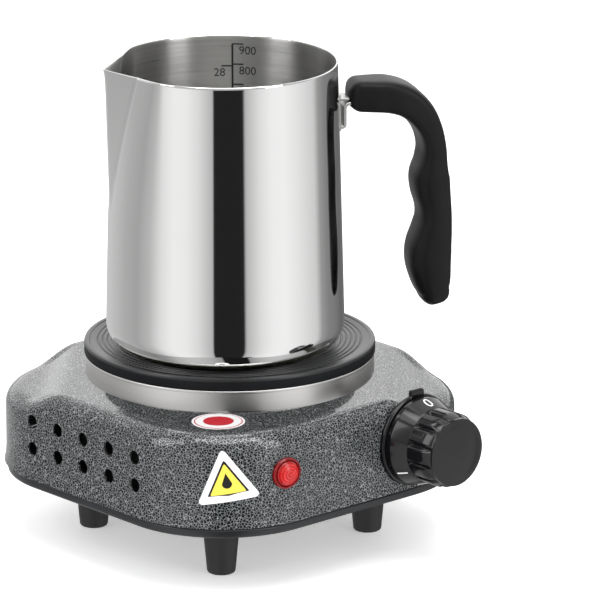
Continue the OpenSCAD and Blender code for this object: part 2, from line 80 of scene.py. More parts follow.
class Wire:
    # a socket that sums can be written with
    def __init__(self, paint, socket):
        self.paint, self.socket = paint, socket

    def maths(self, operation, first, second):
        return self.paint.add("ShaderNodeMath", {"operation": operation}, [first, second])

    def __add__(self, other):
        return self.maths("ADD", self, other)

    def __sub__(self, other):
        return self.maths("SUBTRACT", self, other)

    def __rsub__(self, other):
        return self.maths("SUBTRACT", other, self)

    def __mul__(self, other):
        return self.maths("MULTIPLY", self, other)

    def __truediv__(self, other):
        return self.maths("DIVIDE", self, other)

    def __gt__(self, other):
        return self.maths("GREATER_THAN", self, other)

    def __lt__(self, other):
        return self.maths("LESS_THAN", self, other)

    def __pow__(self, other):
        return self.maths("POWER", self, other)

    __radd__ = __add__
    __rmul__ = __mul__


class Paint:
    # one material; what is the same all over goes straight onto the shader's sockets
    def __init__(self, name, **fixed):
        self.material = bpy.data.materials.new(name)
        self.material.use_nodes = True
        self.tree = self.material.node_tree
        self.shader = self.tree.nodes["Principled BSDF"]
        for key, value in fixed.items():
            self.shader.inputs[key.replace("_", " ")].default_value = value
        here = self.add("ShaderNodeTexCoord", {}, [], 3)
        self.place = self.scaled(here, (1 / mm,) * 3)

    def add(self, kind, settings, inputs, output=0):
        node = self.tree.nodes.new(kind)
        for key, value in settings.items():
            if key == "stops":
                self.setStops(node.color_ramp, value)
            else:
                setattr(node, key, value)
        pairs = inputs.items() if isinstance(inputs, dict) else enumerate(inputs)
        for key, value in pairs:
            if isinstance(value, Wire):
                self.tree.links.new(value.socket, node.inputs[key])
            else:
                node.inputs[key].default_value = value
        return Wire(self, node.outputs[output])

    def setStops(self, ramp, stops):
        while len(ramp.elements) < len(stops):
            ramp.elements.new(0.5)
        for element, (at, shade) in zip(ramp.elements, stops):
            element.position = at
            element.color = (*(shade if isinstance(shade, tuple) else (shade,) * 3), 1)

    def scaled(self, vector, factors):
        return self.add("ShaderNodeVectorMath", {"operation": "MULTIPLY"}, [vector, factors])

    def noise(self, scale, detail=2, roughness=0.5, place=None):
        settings = {"Vector": place or self.place, "Scale": scale, "Detail": detail, "Roughness": roughness}
        return self.add("ShaderNodeTexNoise", {}, settings)

    def cells(self, scale, feature="F1", place=None):
        return self.add("ShaderNodeTexVoronoi", {"feature": feature},
                        {"Vector": place or self.place, "Scale": scale})

    def parts(self, place=None):
        split = self.add("ShaderNodeSeparateXYZ", {}, [place or self.place])
        return [Wire(self, output) for output in split.socket.node.outputs]

    def between(self, value, low, high):
        # 0 at low and 1 at high
        return self.add("ShaderNodeMapRange", {"clamp": True}, [value, low, high, 0.0, 1.0])

    def ramp(self, value, stops):
        return self.add("ShaderNodeValToRGB", {"stops": stops}, [value])

    def mixed(self, share, first, second):
        colours = [(*c, 1) if isinstance(c, tuple) else c for c in (first, second)]
        return self.add("ShaderNodeMix", {"data_type": "RGBA"}, {0: share, 6: colours[0], 7: colours[1]}, 2)

    def feed(self, links):
        for key, wire in links.items():
            self.tree.links.new(wire.socket, self.shader.inputs[key])
        return self.material

    def bump(self, height, distance, strength=1.0):
        return self.add("ShaderNodeBump", {},
                        {"Strength": strength, "Distance": distance * mm, "Height": height})


# ---- mesh building

def filleted(corners, steps=5):
    # corners are (across, up) or (across, up, radius); the open ends stay sharp
    line = []
    for i, corner in enumerate(corners):
        here = Vector(corner[:2])
        radius = corner[2] if len(corner) > 2 else 0
        if not radius or i in (0, len(corners) - 1):
            line.append(here)
            continue
        back = Vector(corners[i - 1][:2]) - here
        ahead = Vector(corners[i + 1][:2]) - here
        opening = back.angle(ahead) / 2
        cut = min(radius / math.tan(opening), back.length * 0.5, ahead.length * 0.5)
        radius = cut * math.tan(opening)
        heart = here + (back.normalized() + ahead.normalized()).normalized() * (radius / math.sin(opening))
        start = here + back.normalized() * cut - heart
        end = here + ahead.normalized() * cut - heart
        line += [heart + start.slerp(end, step / steps).normalized() * radius for step in range(steps + 1)]
    return line


def skin(rings, closed=False):
    faces = []
    for low, high in zip(rings, rings[1:] + rings[:1] if closed else rings[1:]):
        count = max(len(low), len(high))
        for i in range(count if count > 1 else 0):
            j = (i + 1) % count
            if len(low) == 1:
                faces.append((low[0], high[j], high[i]))
            elif len(high) == 1:
                faces.append((low[i], low[j], high[0]))
            else:
                faces.append((low[i], low[j], high[j], high[i]))
    return faces


def grid(rows, closed=False):
    # rows of points become rings of a surface; a row of one point is a pole
    points, rings = [], []
    for row in rows:
        rings.append(list(range(len(points), len(points) + len(row))))
        points += row
    return points, skin(rings, closed)


def lathe(profile, columns=96, closed=False):
    rows = []
    for across, up in profile:
        if across < 1e-6:
            rows.append([Vector((0, 0, up))])
        else:
            rows.append([direction(360 * i / columns) * across + Vector((0, 0, up)) for i in range(columns)])
    return grid(rows, closed)


def joined(*shapes):
    points, faces = [], []
    for morePoints, moreFaces in shapes:
        faces += [tuple(i + len(points) for i in face) for face in moreFaces]
        points += morePoints
    return points, faces


def moved(shape, matrix):
    return [matrix @ Vector(p) for p in shape[0]], shape[1]


def newObject(name, shape, sharp=32, marks=None):
    mesh = bpy.data.meshes.new(name)
    mesh.from_pydata([Vector(p) * mm for p in shape[0]], [], shape[1])
    if marks:
        mesh.polygons.foreach_set("material_index", marks)
    work = bmesh.new()
    work.from_mesh(mesh)
    bmesh.ops.recalc_face_normals(work, faces=work.faces)
    work.to_mesh(mesh)
    work.free()
    mesh.shade_smooth()
    mesh.set_sharp_from_angle(angle=math.radians(sharp))
    obj = bpy.data.objects.new(name, mesh)
    bpy.context.scene.collection.objects.link(obj)
    return obj


def settle(obj, body, slotName, materials, *nodes):
    for material in materials:
        obj.data.materials.append(material)
    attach(obj, body)
    if nodes:
        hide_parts(*nodes)
    return obj


def placedAt(matrix):
    # the same place with its shift in metres
    out = matrix.copy()
    out.translation *= mm
    return out


def bored(obj, cutters):
    # drills the holes that the cutters fill, then drops the cutters
    tool = newObject("cutters", joined(*cutters))
    cut = obj.modifiers.new("holes", "BOOLEAN")
    cut.object, cut.solver, cut.operation = tool, "EXACT", "DIFFERENCE"
    ready = obj.evaluated_get(bpy.context.evaluated_depsgraph_get())
    fresh = bpy.data.meshes.new_from_object(ready)
    obj.modifiers.clear()
    obj.data = fresh
    bpy.data.objects.remove(tool)
    fresh.shade_smooth()
    fresh.set_sharp_from_angle(angle=math.radians(32))
    return obj


def plug(radius, low, high, columns=40):
    return lathe([(0, low), (radius, low), (radius, high), (0, high)], columns)


def lettering(text, height, depth=0.12):
    # flat figures on the XY plane, middle at the origin, in millimetres
    curve = bpy.data.curves.new("figures", "FONT")
    curve.body, curve.size, curve.extrude = text, height * 1.45, depth / 2
    curve.align_x, curve.align_y = "CENTER", "CENTER"
    carrier = bpy.data.objects.new("figures", curve)
    bpy.context.scene.collection.objects.link(carrier)
    ready = carrier.evaluated_get(bpy.context.evaluated_depsgraph_get())
    mesh = bpy.data.meshes.new_from_object(ready)
    work = bmesh.new()
    work.from_mesh(mesh)
    bmesh.ops.remove_doubles(work, verts=work.verts, dist=1e-4)
    bmesh.ops.subdivide_edges(work, edges=[e for e in work.edges if e.calc_length() > height / 3], cuts=2)
    bmesh.ops.triangulate(work, faces=work.faces)
    work.to_mesh(mesh)
    work.free()
    shape = [v.co.copy() for v in mesh.vertices], [tuple(p.vertices) for p in mesh.polygons]
    bpy.data.objects.remove(carrier)
    bpy.data.meshes.remove(mesh)
    return shape


# ---- finishes

hammer = {"cell": 0.84, "vein": 0.075, "dark": (0.003, 0.0035, 0.004), "light": (0.29, 0.303, 0.313),
          "depth": 0.05}


def hammerPaint():
    paint = Paint("hammerPaint", Specular_IOR_Level=0.1, Coat_Weight=1.0, Coat_Roughness=0.07, Coat_IOR=1.42)
    push = paint.add("ShaderNodeTexNoise", {}, {"Vector": paint.place, "Scale": 0.7, "Detail": 2.0}, 1)
    bent = paint.add("ShaderNodeVectorMath", {"operation": "MULTIPLY_ADD"}, [push, (1.1,) * 3, paint.place])
    edge = paint.cells(hammer["cell"], "DISTANCE_TO_EDGE", bent)
    size = paint.noise(0.45, 2)
    vein = 1 - paint.between(edge, 0.02, hammer["vein"] + 0.08 * size)
    speck = paint.noise(3.2, 2, 0.6)
    tone = paint.between(vein * 0.95 + (speck - 0.5) * 0.45, 0.4, 0.95)
    shade = paint.mixed(tone, hammer["dark"], hammer["light"])
    height = edge * 0.8 + speck * 0.25
    return paint.feed({
        "Base Color": shade, "Metallic": tone * 0.35, "Roughness": 0.52 - 0.2 * tone,
        "Normal": paint.bump(height, hammer["depth"], 0.55)})


def enamel(name, shade, rough, peel=0.02):
    # smooth paint with a faint orange-peel skin
    paint = Paint(name, Coat_Weight=0.3, Coat_Roughness=0.12, Coat_IOR=1.4, Specular_IOR_Level=0.3)
    wave = paint.noise(0.9, 2)
    cloud = paint.noise(0.06, 3)
    colour = paint.mixed(cloud, tuple(c * 0.75 for c in shade), tuple(c * 1.3 for c in shade))
    return paint.feed({"Base Color": colour, "Roughness": rough + 0.12 * cloud,
                       "Normal": paint.bump(wave, peel, 0.5)})


def moulded(name, shade, rough, grain=0.02, size=2.5, coat=0.0, shine=0.5):
    # moulded plastic or rubber with a fine skin texture
    paint = Paint(name, Coat_Weight=coat, Coat_Roughness=0.06, Specular_IOR_Level=shine)
    skinNoise = paint.noise(size, 3)
    cloud = paint.noise(0.08, 3)
    colour = paint.mixed(cloud, tuple(c * 0.7 for c in shade), tuple(c * 1.35 for c in shade))
    rubbed = rough + 0.1 * (cloud - 0.5) + 0.06 * (skinNoise - 0.5)
    return paint.feed({"Base Color": colour, "Roughness": rubbed,
                       "Normal": paint.bump(skinNoise, grain, 0.6)})


def castPlate():
    # the turned top is rubbed brighter than the rim
    paint = Paint("castPlate", Specular_IOR_Level=0.06, Coat_Roughness=0.33, Coat_IOR=1.5)
    plateTop = boxOf("hotplate")[1].z
    height = paint.parts(paint.place)[2]
    grain = paint.noise(2.2, 4, 0.6)
    cloud = paint.noise(0.05, 3)
    colour = paint.mixed(cloud, (0.005, 0.005, 0.006), (0.014, 0.015, 0.016))
    return paint.feed({"Base Color": colour, "Roughness": 0.36 + 0.18 * grain + 0.1 * cloud,
                       "Coat Weight": paint.between(height, plateTop - 1.6, plateTop - 0.9) * 0.9,
                       "Normal": paint.bump(grain, 0.035, 0.6)})


def metal(name, shade, rough, streak=(1, 1, 1), streakDepth=0.0, spread=0.12, specks=0.02, brushed=0.0):
    # streak stretches the grain: small along a direction means long marks that way
    paint = Paint(name, Metallic=1.0, Anisotropic=brushed, Anisotropic_Rotation=0.25)
    grain = paint.noise(1.0, 4, 0.65, paint.scaled(paint.place, streak))
    cloud = paint.noise(0.045, 3)
    colour = paint.mixed(cloud * 0.5 + grain * 0.5, tuple(c * (1 - spread) for c in shade), shade)
    links = {"Base Color": colour, "Roughness": rough + specks * (cloud - 0.5) + 0.5 * rough * (grain - 0.5)}
    if streakDepth:
        links["Normal"] = paint.bump(grain, streakDepth, 0.5)
    return paint.feed(links)


def lensRed(facets=24):
    # the lamp's cap is placed by its own matrix, so its axis is the local Z
    paint = Paint("lensRed", Coat_Weight=0.5, Coat_Roughness=0.03, Specular_IOR_Level=0.25,
                  Emission_Strength=0.05)
    x, y, z = paint.parts()
    out = (x * x + y * y) ** 0.5
    # the facets are not modelled: their glints are painted into the colour as a bright wedge and ring pattern
    turn = y.maths("ARCTAN2", y, x)
    wedge = turn.maths("PINGPONG", turn, math.pi / facets)
    wedge = paint.between(wedge, 0.0, math.pi / facets)
    ringed = out.maths("PINGPONG", out + wedge * 0.5, 0.62)
    paintedGlint = paint.between(ringed, 0.15, 0.6) * paint.between(out, 5.4, 3.4)
    rim = paint.between(out, 4.6, 5.6)
    cloud = paint.noise(0.7, 2)
    shade = paint.mixed(paintedGlint * 0.8 * (cloud + 0.4), (0.28, 0.003, 0.004), (0.85, 0.05, 0.045))
    # the colour and its faint glow get darker towards the rim
    shade = paint.mixed(rim * 0.75, shade, (0.13, 0.003, 0.004))
    glow = paint.mixed(rim, (0.8, 0.01, 0.01), (0.25, 0.0, 0.0))
    return paint.feed({"Base Color": shade, "Emission Color": glow, "Roughness": 0.08 + 0.1 * cloud,
                       "Normal": paint.bump(paintedGlint, 0.25, 0.5)})


def film(name, shade):
    # printed sticker under a clear film
    paint = Paint(name, Coat_Weight=0.6, Coat_Roughness=0.1)
    fibre = paint.noise(2.5, 3)
    colour = paint.mixed(fibre, tuple(c * 0.93 for c in shade), shade)
    return paint.feed({"Base Color": colour, "Roughness": 0.32 + 0.12 * fibre,
                       "Normal": paint.bump(fibre, 0.01, 0.4)})


def neonGlass():
    paint = Paint("neonGlass", Coat_Weight=1.0, Coat_Roughness=0.05, Emission_Strength=0.4)
    cloud = paint.noise(0.9, 2)
    colour = paint.mixed(cloud, (0.75, 0.25, 0.08), (0.95, 0.5, 0.2))
    return paint.feed({"Base Color": colour, "Emission Color": colour, "Roughness": 0.1 + 0.1 * cloud})


def earthStripes():
    paint = Paint("earthStripes")
    x, y, z = paint.parts()
    band = x.maths("PINGPONG", x + y * 0.6, 1.6)
    colour = paint.mixed(band > 0.8, (0.07, 0.3, 0.05), (0.75, 0.65, 0.06))
    return paint.feed({"Base Color": colour, "Roughness": 0.38 + 0.1 * paint.noise(1.5)})


paints = {
    "hammer_paint": hammerPaint(), "black_paint": enamel("blackPaint", (0.016, 0.017, 0.019), 0.26),
    "feet_rubber": moulded("feetRubber", (0.016, 0.016, 0.017), 0.62, 0.05, 1.6),
    "cast_plate": castPlate(),
    "ring_steel": metal("ringSteel", (0.74, 0.73, 0.72), 0.36, (0.03, 0.03, 3.5), 0.012),
    "zinc_steel": metal("zincSteel", (0.5, 0.5, 0.485), 0.32, (0.7, 0.7, 0.7), 0.01),
    "coil_alloy": metal("coilAlloy", (0.46, 0.38, 0.31), 0.42, (0.6, 0.6, 3), 0.02, 0.35),
    "ceramic": moulded("ceramic", (0.68, 0.65, 0.58), 0.55, 0.05, 1.1),
    "shield_steel": metal("shieldSteel", (0.7, 0.69, 0.66), 0.36, (0.2, 2.2, 0.2), 0.01),
    "brass_parts": metal("brassParts", (0.75, 0.54, 0.24), 0.26, (0.9, 0.9, 0.9), 0.008),
    "knob_black": moulded("knobBlack", (0.006, 0.006, 0.007), 0.14, 0.002, 2.5, 0.25, 0.3),
    "lens_red": lensRed(), "neon_glass": neonGlass(),
    "wire_brown": moulded("wireBrown", (0.16, 0.06, 0.025), 0.36, 0.01, 1.5),
    "wire_blue": moulded("wireBlue", (0.02, 0.08, 0.35), 0.36, 0.01, 1.5),
    "wire_earth": earthStripes(), "wire_white": moulded("wireWhite", (0.7, 0.7, 0.68), 0.36, 0.01, 1.5),
    "label_yellow": film("labelYellow", (0.93, 0.70, 0.07)),
    "label_white": film("labelWhite", (0.86, 0.86, 0.86)),
    "pot_steel": metal("potSteel", (0.86, 0.86, 0.855), 0.055, (0.02, 0.02, 1.2), 0.0, 0.05, 0.03),
    "handle_black": moulded("handleBlack", (0.008, 0.008, 0.008), 0.36, 0.03, 3.0, shine=0.12),
}
inkBlack = film("inkBlack", (0.014, 0.014, 0.014))
inkRed = film("inkRed", (0.52, 0.018, 0.03))
potInside = metal("potInside", (0.74, 0.735, 0.72), 0.3, (0.015, 0.015, 1.1), 0.045, 0.5, 0.05, 0.95)
figureWhite = film("figureWhite", (0.82, 0.82, 0.82))
print("finishes mixed")


# ---- housing

housing = {"corner": 48, "shoulder": 7.5, "sheet": 0.8, "opening": 50, "flare": 0.9, "flareFrom": 8,
           "earTurn": 135, "earDrop": 6.5, "earFrom": 67.5, "earTo": 83.5, "columns": 320}


def outline(turn, inset=0.0):
    # distance from the plate's axis to the rounded square, that way
    reach, corner = half - inset, housing["corner"] - inset
    across, up = sorted((abs(math.cos(math.radians(turn))), abs(math.sin(math.radians(turn)))), reverse=True)
    flat = reach - corner
    if reach * up / across <= flat:
        return reach / across
    lean = flat * (across + up)
    return lean + math.sqrt(lean * lean - 2 * flat * flat + corner * corner)


def earFall(point):
    along = abs(point.dot(direction(housing["earTurn"])))
    return housing["earDrop"] * ease((along - housing["earFrom"]) / (housing["earTo"] - housing["earFrom"]))


def housingRow(share, rise, inset):
    # rise is measured down from the top, share moves from the opening out to the wall
    row = []
    for i in range(housing["columns"]):
        turn = 360 * i / housing["columns"]
        out = share(outline(turn, inset))
        point = direction(turn) * out
        row.append(plateAxis + point + Vector((0, 0, rise(earFall(point)))))
    return row


def housingRows(inset):
    shoulder = housing["shoulder"] - inset
    roof = topZ - inset
    rows = [housingRow(lambda r, d=d: d, lambda fall: roof - fall, inset)
            for d in (housing["opening"], 58, 62)]
    for step in range(13):
        share = step / 12
        rows.append(housingRow(lambda r, s=share: 64 + (r - shoulder - 64) * s, lambda fall: roof - fall,
                               inset))
    for step in range(1, 8):
        bend = math.radians(90 * step / 7)
        out, down = shoulder * (1 - math.sin(bend)), shoulder * (1 - math.cos(bend))
        rows.append([plateAxis + direction(360 * i / housing["columns"])
                     * (outline(360 * i / housing["columns"], inset) - out)
                     + Vector((0, 0, roof - down - cornerFall(360 * i / housing["columns"])))
                     for i in range(housing["columns"])])
    for level in (0.25, 0.5, 0.75, 1.0):
        rows.append(wallRow(inset, level, 0, shoulder, roof))
    for step in range(1, 6):
        rows.append(wallRow(inset, 1, step / 5, shoulder, roof))
    return rows


def cornerFall(turn):
    return earFall(direction(turn) * (outline(turn) - housing["shoulder"]))


def wallRow(inset, level, flare, shoulder, roof):
    row = []
    for i in range(housing["columns"]):
        turn = 360 * i / housing["columns"]
        start = roof - shoulder - cornerFall(turn)
        foot = seamZ + housing["flareFrom"]
        height = start + (foot - start) * level - housing["flareFrom"] * flare
        out = outline(turn, inset) + housing["flare"] * flare * flare
        row.append(plateAxis + direction(turn) * out + Vector((0, 0, height)))
    return row


lampPlace = (Matrix.Translation(plateAxis + Vector((housing["corner"] - half, housing["corner"] - half,
                                                    middle("lamp_lens").z)))
             @ Matrix.Rotation(math.radians(-8), 4, "Z")
             @ Matrix.Translation((0, -housing["corner"], 0)) @ Matrix.Rotation(math.radians(90), 4, "X"))
knobLow, knobHigh = boxOf("knob")
knobPlace = (Matrix.Translation((middle("knob").x, plateAxis.y - half, middle("knob").z))
             @ Matrix.Rotation(math.radians(90), 4, "X"))
cordPlace = (Matrix.Translation((middle("cord_bushing").x, plateAxis.y + half, middle("cord_bushing").z))
             @ Matrix.Rotation(math.radians(-90), 4, "X"))
vents = {"radius": 3.0, "pitch": 16.8, "rows": (45.3, 57.3)}

outer = housingRows(0)
inner = housingRows(housing["sheet"])
shell = newObject("housing_shell", grid(outer + inner[::-1], closed=True))
cutters = []
for side in (-1, 1):
    for i in range(-2, 3):
        for level in vents["rows"]:
            turn = Matrix.Translation(plateAxis + Vector((side * half, i * vents["pitch"], level)))
            cutters.append(moved(plug(vents["radius"], -4, 4),
                                 turn @ Matrix.Rotation(math.radians(90), 4, "Y")))
cutters.append(moved(plug(4.6, -5, 3), knobPlace))
cutters += [moved(plug(1.6, -5, 3), knobPlace @ Matrix.Translation((x, 0, 0))) for x in (-11, 11)]
cutters.append(moved(plug(5.1, -5, 4), lampPlace))
cutters.append(moved(plug(6, -5, 3), cordPlace))
bored(shell, cutters)
settle(shell, "stove", "hammer_paint", [paints["hammer_paint"]], "housing")
shell.visible_glossy = False
print("housing pressed,", len(shell.data.polygons), "faces")


# ---- base cover

cover = {"lip": 4.5, "seam": 0.9, "seamIn": 1.1, "inset": 0.5, "round": 1.4, "sheet": 0.8, "flange": 5.0,
         "rib": 30, "ribWidth": 9, "ribDepth": 1.2}


def ringRow(inset, height):
    turns = [360 * i / housing["columns"] for i in range(housing["columns"])]
    return [plateAxis + direction(t) * outline(t, inset) + Vector((0, 0, height)) for t in turns]


def discRow(share, height, inset):
    turns = [360 * i / housing["columns"] for i in range(housing["columns"])]
    return [plateAxis + direction(t) * (outline(t, inset) * share) + Vector((0, 0, height)) for t in turns]


def pressed(share):
    # height of the ring pressed into the base
    gap = abs(share * half - cover["rib"]) / cover["ribWidth"]
    return cover["ribDepth"] * (1 - ease((gap - 0.45) / 0.3))


inside = housing["sheet"] + 0.25
lipTop = floorZ + cover["lip"] - cover["seam"]
edge = filleted([(inside, floorZ + cover["lip"] + cover["flange"]), (inside, floorZ + cover["lip"] + 0.2),
                 (cover["seamIn"] + cover["inset"], floorZ + cover["lip"] + 0.2),
                 (cover["seamIn"] + cover["inset"], lipTop, 0.2),
                 (cover["inset"], lipTop, 0.6), (cover["inset"], floorZ, cover["round"]),
                 (half * 0.2, floorZ)], 4)
rows = [ringRow(max(-5, across), up) for across, up in edge[:-1]]
base = [s / 30 for s in range(28, 0, -1)]
rows += [discRow(s, floorZ + pressed(s), cover["inset"]) for s in base]
rows.append([plateAxis + Vector((0, 0, floorZ))])
upper = floorZ + cover["sheet"]
rows.append([plateAxis + Vector((0, 0, upper))])
rows += [discRow(s, upper + pressed(s), inside + cover["sheet"]) for s in base[::-1]]
rows.append(ringRow(inside + cover["sheet"], upper))
rows.append(ringRow(inside + cover["sheet"], floorZ + cover["lip"] + cover["flange"]))
coverShell = newObject("base_cover_pan", grid(rows, closed=True))
feetNodes = ("foot_fl", "foot_fr", "foot_rl", "foot_rr")
holes = []
for node in feetNodes:
    spot = middle(node)
    holes.append(moved(plug(2.2, floorZ - 3, floorZ + 4, 24), Matrix.Translation((spot.x, spot.y, 0))))
bored(coverShell, holes)
settle(coverShell, "stove", "black_paint", [paints["black_paint"]], "base_cover")


# ---- feet

foot = {"low": 6, "high": 8.5, "round": 1.4, "bore": 3.7, "boreDepth": 16, "screw": 2.2, "collar": 0.5}
for node in feetNodes:
    spot = middle(node)
    tall = floorZ
    profile = filleted([(foot["bore"], foot["boreDepth"]), (foot["bore"], 0, 0.6),
                        (foot["low"], 0, foot["round"]),
                        (foot["high"] - 0.3, tall - 3), (foot["high"] + foot["collar"], tall - 2.2, 0.4),
                        (foot["high"] + foot["collar"], tall, 0.3), (foot["screw"], tall),
                        (foot["screw"], foot["boreDepth"])], 4)
    shape = moved(lathe(profile, 64, closed=True), Matrix.Translation((spot.x, spot.y, 0)))
    settle(newObject(node + "_rubber", shape), "stove", "feet_rubber", [paints["feet_rubber"]], node)
print("base cover and feet done")


# ---- hot plate

plate = {"radius": (boxOf("hotplate")[1].x - boxOf("hotplate")[0].x) / 2, "rim": 2.2, "dish": 0.5,
         "grooveFrom": 14, "grooveTo": 57.4, "pitch": 2.1, "grooveDepth": 0.55, "skirt": 1.7,
         "channelIn": 22, "channelOut": 54, "channelTop": 7}
plateLow, plateHigh = boxOf("hotplate")
dishZ = plateHigh.z - plate["dish"]
ringTop = boxOf("plate_ring")[1].z
corners = [(0, dishZ)]
at = plate["grooveFrom"]
while at < plate["grooveTo"]:
    low = dishZ - plate["grooveDepth"]
    corners += [(at - 0.1, dishZ, 0.12), (at + 0.15, low, 0.15), (at + 0.85, low, 0.15),
                (at + 1.1, dishZ, 0.12)]
    at += plate["pitch"]
corners += [(plate["radius"] - plate["rim"] - 0.3, dishZ, 0.4),
            (plate["radius"] - plate["rim"], plateHigh.z, 0.3),
            (plate["radius"], plateHigh.z, 0.9), (plate["radius"], ringTop + 0.05, 0.4),
            (plate["radius"] - plate["skirt"], ringTop + 0.05, 0.3),
            (plate["radius"] - plate["skirt"], plateLow.z, 0.8), (plate["channelOut"], plateLow.z),
            (plate["channelOut"], plateLow.z + plate["channelTop"]),
            (plate["channelIn"], plateLow.z + plate["channelTop"]), (plate["channelIn"], plateLow.z),
            (3.1, plateLow.z), (3.1, plateLow.z + 8), (0, plateLow.z + 8)]
hot = newObject("hotplate_cast", moved(lathe(filleted(corners, 2), 192), Matrix.Translation(plateAxis)), 28)
hot.visible_glossy = False  # keeps the pot's polished foot bright
settle(hot, "stove", "cast_plate", [paints["cast_plate"]], "hotplate")

ring = {"radius": plate["radius"] - 0.4, "sheet": 0.6, "flange": 5.0, "lap": 0.5}
r, t = ring["radius"], ring["sheet"]
corners = [(r - ring["flange"], topZ + 0.02), (r - ring["lap"], topZ + 0.02, 0.2),
           (r - ring["lap"], topZ + 0.6, 0.2),
           (r, topZ + 0.6, 0.25), (r, ringTop - 1.2, 0.3), (r + 0.12, ringTop - 0.8, 0.3),
           (r + 0.12, ringTop - 0.02, 0.25),
           (r - t, ringTop - 0.02, 0.2), (r - t, topZ + 1.3, 0.4), (r - ring["flange"], topZ + 1.3)]
band = newObject("plate_ring_band",
                 moved(lathe(filleted(corners, 3), 192, closed=True), Matrix.Translation(plateAxis)))
band.visible_glossy = False
settle(band, "stove", "ring_steel", [paints["ring_steel"]], "plate_ring")
print("hot plate and its ring turned")


# ---- knob and its bezel

knob = {"skirt": 19, "skirtLow": 2.8, "skirtHigh": 5.2, "coneTop": 12.6, "coneRadius": 16.2, "grip": 14.6,
        "face": (knobHigh.y - knobLow.y) + 2.8, "dome": 58, "lugs": 12, "lugRise": 1.5, "lugGap": 0.42,
        "columns": 288, "figures": 5, "figureStart": 125, "figureStep": 45, "figureHeight": 5.2}
edgeZ = knob["face"] - knob["dome"] + math.sqrt(knob["dome"] ** 2 - knob["grip"] ** 2)
profile = filleted([(3.1, knob["skirtLow"] + 3), (11, knob["skirtLow"] + 3), (11, knob["skirtLow"], 0.3),
                    (knob["skirt"], knob["skirtLow"], 0.5), (knob["skirt"], knob["skirtHigh"], 1.2),
                    (knob["coneRadius"], knob["coneTop"], 1.6), (knob["grip"], knob["coneTop"] + 1.2, 0.8),
                    (knob["grip"], edgeZ - 7), (knob["grip"], edgeZ - 4), (knob["grip"], edgeZ, 2.4),
                    (knob["grip"] * 0.86, edgeZ + 0.42)], 6)
profile = [(p.x, p.y) for p in profile]
for step in range(11, -1, -1):
    out = knob["grip"] * 0.8 * step / 11
    profile.append((out, knob["face"] - knob["dome"] + math.sqrt(knob["dome"] ** 2 - out * out)))


def lugRise(turn, out, up):
    # ribs round the grip: they grow out of the cone and round off below the face
    if out < knob["grip"] - 1.5 or up < knob["skirtHigh"] + 3.5:
        return 0
    step = 360 / knob["lugs"]
    off = abs((turn + step / 2) % step - step / 2) / (step / 2)
    crown = ease((1 - off) / knob["lugGap"])
    ending = ease((edgeZ - 0.3 - up) / 3.2)
    surface = knob["grip"] + knob["lugRise"] * crown * ending
    return max(0, surface - out)


rows = []
for out, up in profile:
    if out < 1e-6:
        rows.append([Vector((0, 0, up))])
        continue
    turns = [360 * i / knob["columns"] for i in range(knob["columns"])]
    rows.append([direction(t) * (out + lugRise(t, out, up)) + Vector((0, 0, up)) for t in turns])
socket = Vector((0, 0, knob["face"] - 6))
socketRow = [direction(360 * i / knob["columns"]) * 3.1 + socket for i in range(knob["columns"])]
body = newObject("knob_grip", grid([[socket], socketRow] + rows), 40)
body.matrix_world = placedAt(knobPlace)
settle(body, "knob_set", "knob_black", [paints["knob_black"]], "knob")


def onCone(shape, turn):
    # lays flat figures on the skirt's cone, their feet towards the grip
    slant = Vector((knob["skirt"] - knob["coneRadius"], knob["skirtHigh"] - knob["coneTop"]))
    along = slant.normalized()
    points = []
    for p in shape[0]:
        spot = Vector((knob["coneRadius"], knob["coneTop"])) + slant * 0.52 + along * p.y
        spot += Vector((-along.y, along.x)) * (p.z + 0.06)
        twist = turn - math.degrees(p.x / spot.x)
        points.append(direction(twist) * spot.x + Vector((0, 0, spot.y)))
    return points, shape[1]


figures = [onCone(lettering("0", knob["figureHeight"]), 90)]
for i in range(knob["figures"]):
    turn = 90 + knob["figureStart"] + knob["figureStep"] * i
    figures.append(onCone(lettering(str(i + 1), knob["figureHeight"]), turn))
dial = newObject("knob_figures", joined(*figures), 30)
dial.matrix_world = placedAt(knobPlace)
settle(dial, "knob_set", "label_white", [figureWhite])

bezel = {"radius": 20, "thick": 2.0, "low": 0.2, "neck": 4.6, "tabWidth": 7.4, "tabOut": 22.2, "step": 17.5}
low, high = bezel["low"], bezel["low"] + bezel["thick"]
rows = []
edge = filleted([(bezel["neck"], low), (bezel["radius"], low, 0.3), (bezel["radius"], high, 0.9),
                 (bezel["step"], high, 0.3),
                 (bezel["step"] - 0.6, high - 0.5, 0.3), (bezel["neck"], high - 0.5)], 4)
for across, up in edge:
    row = []
    for i in range(240):
        turn = 360 * i / 240
        ray = direction(turn)
        out = across
        if across > bezel["step"] and ray.y > 0.8:
            tab = (across - bezel["radius"] + bezel["tabOut"]) / ray.y
            side = abs(ray.x) * tab
            share = ease((bezel["tabWidth"] / 2 + 0.5 - side) / 0.9)
            out = across + (tab - across) * share
        row.append(ray * out + Vector((0, 0, up)))
    rows.append(row)
collar = newObject("knob_bezel_disc", grid(rows, closed=True))
collar.matrix_world = placedAt(knobPlace)
settle(collar, "stove", "knob_black", [paints["knob_black"]], "knob_bezel")
print("knob moulded")


# ---- lamp

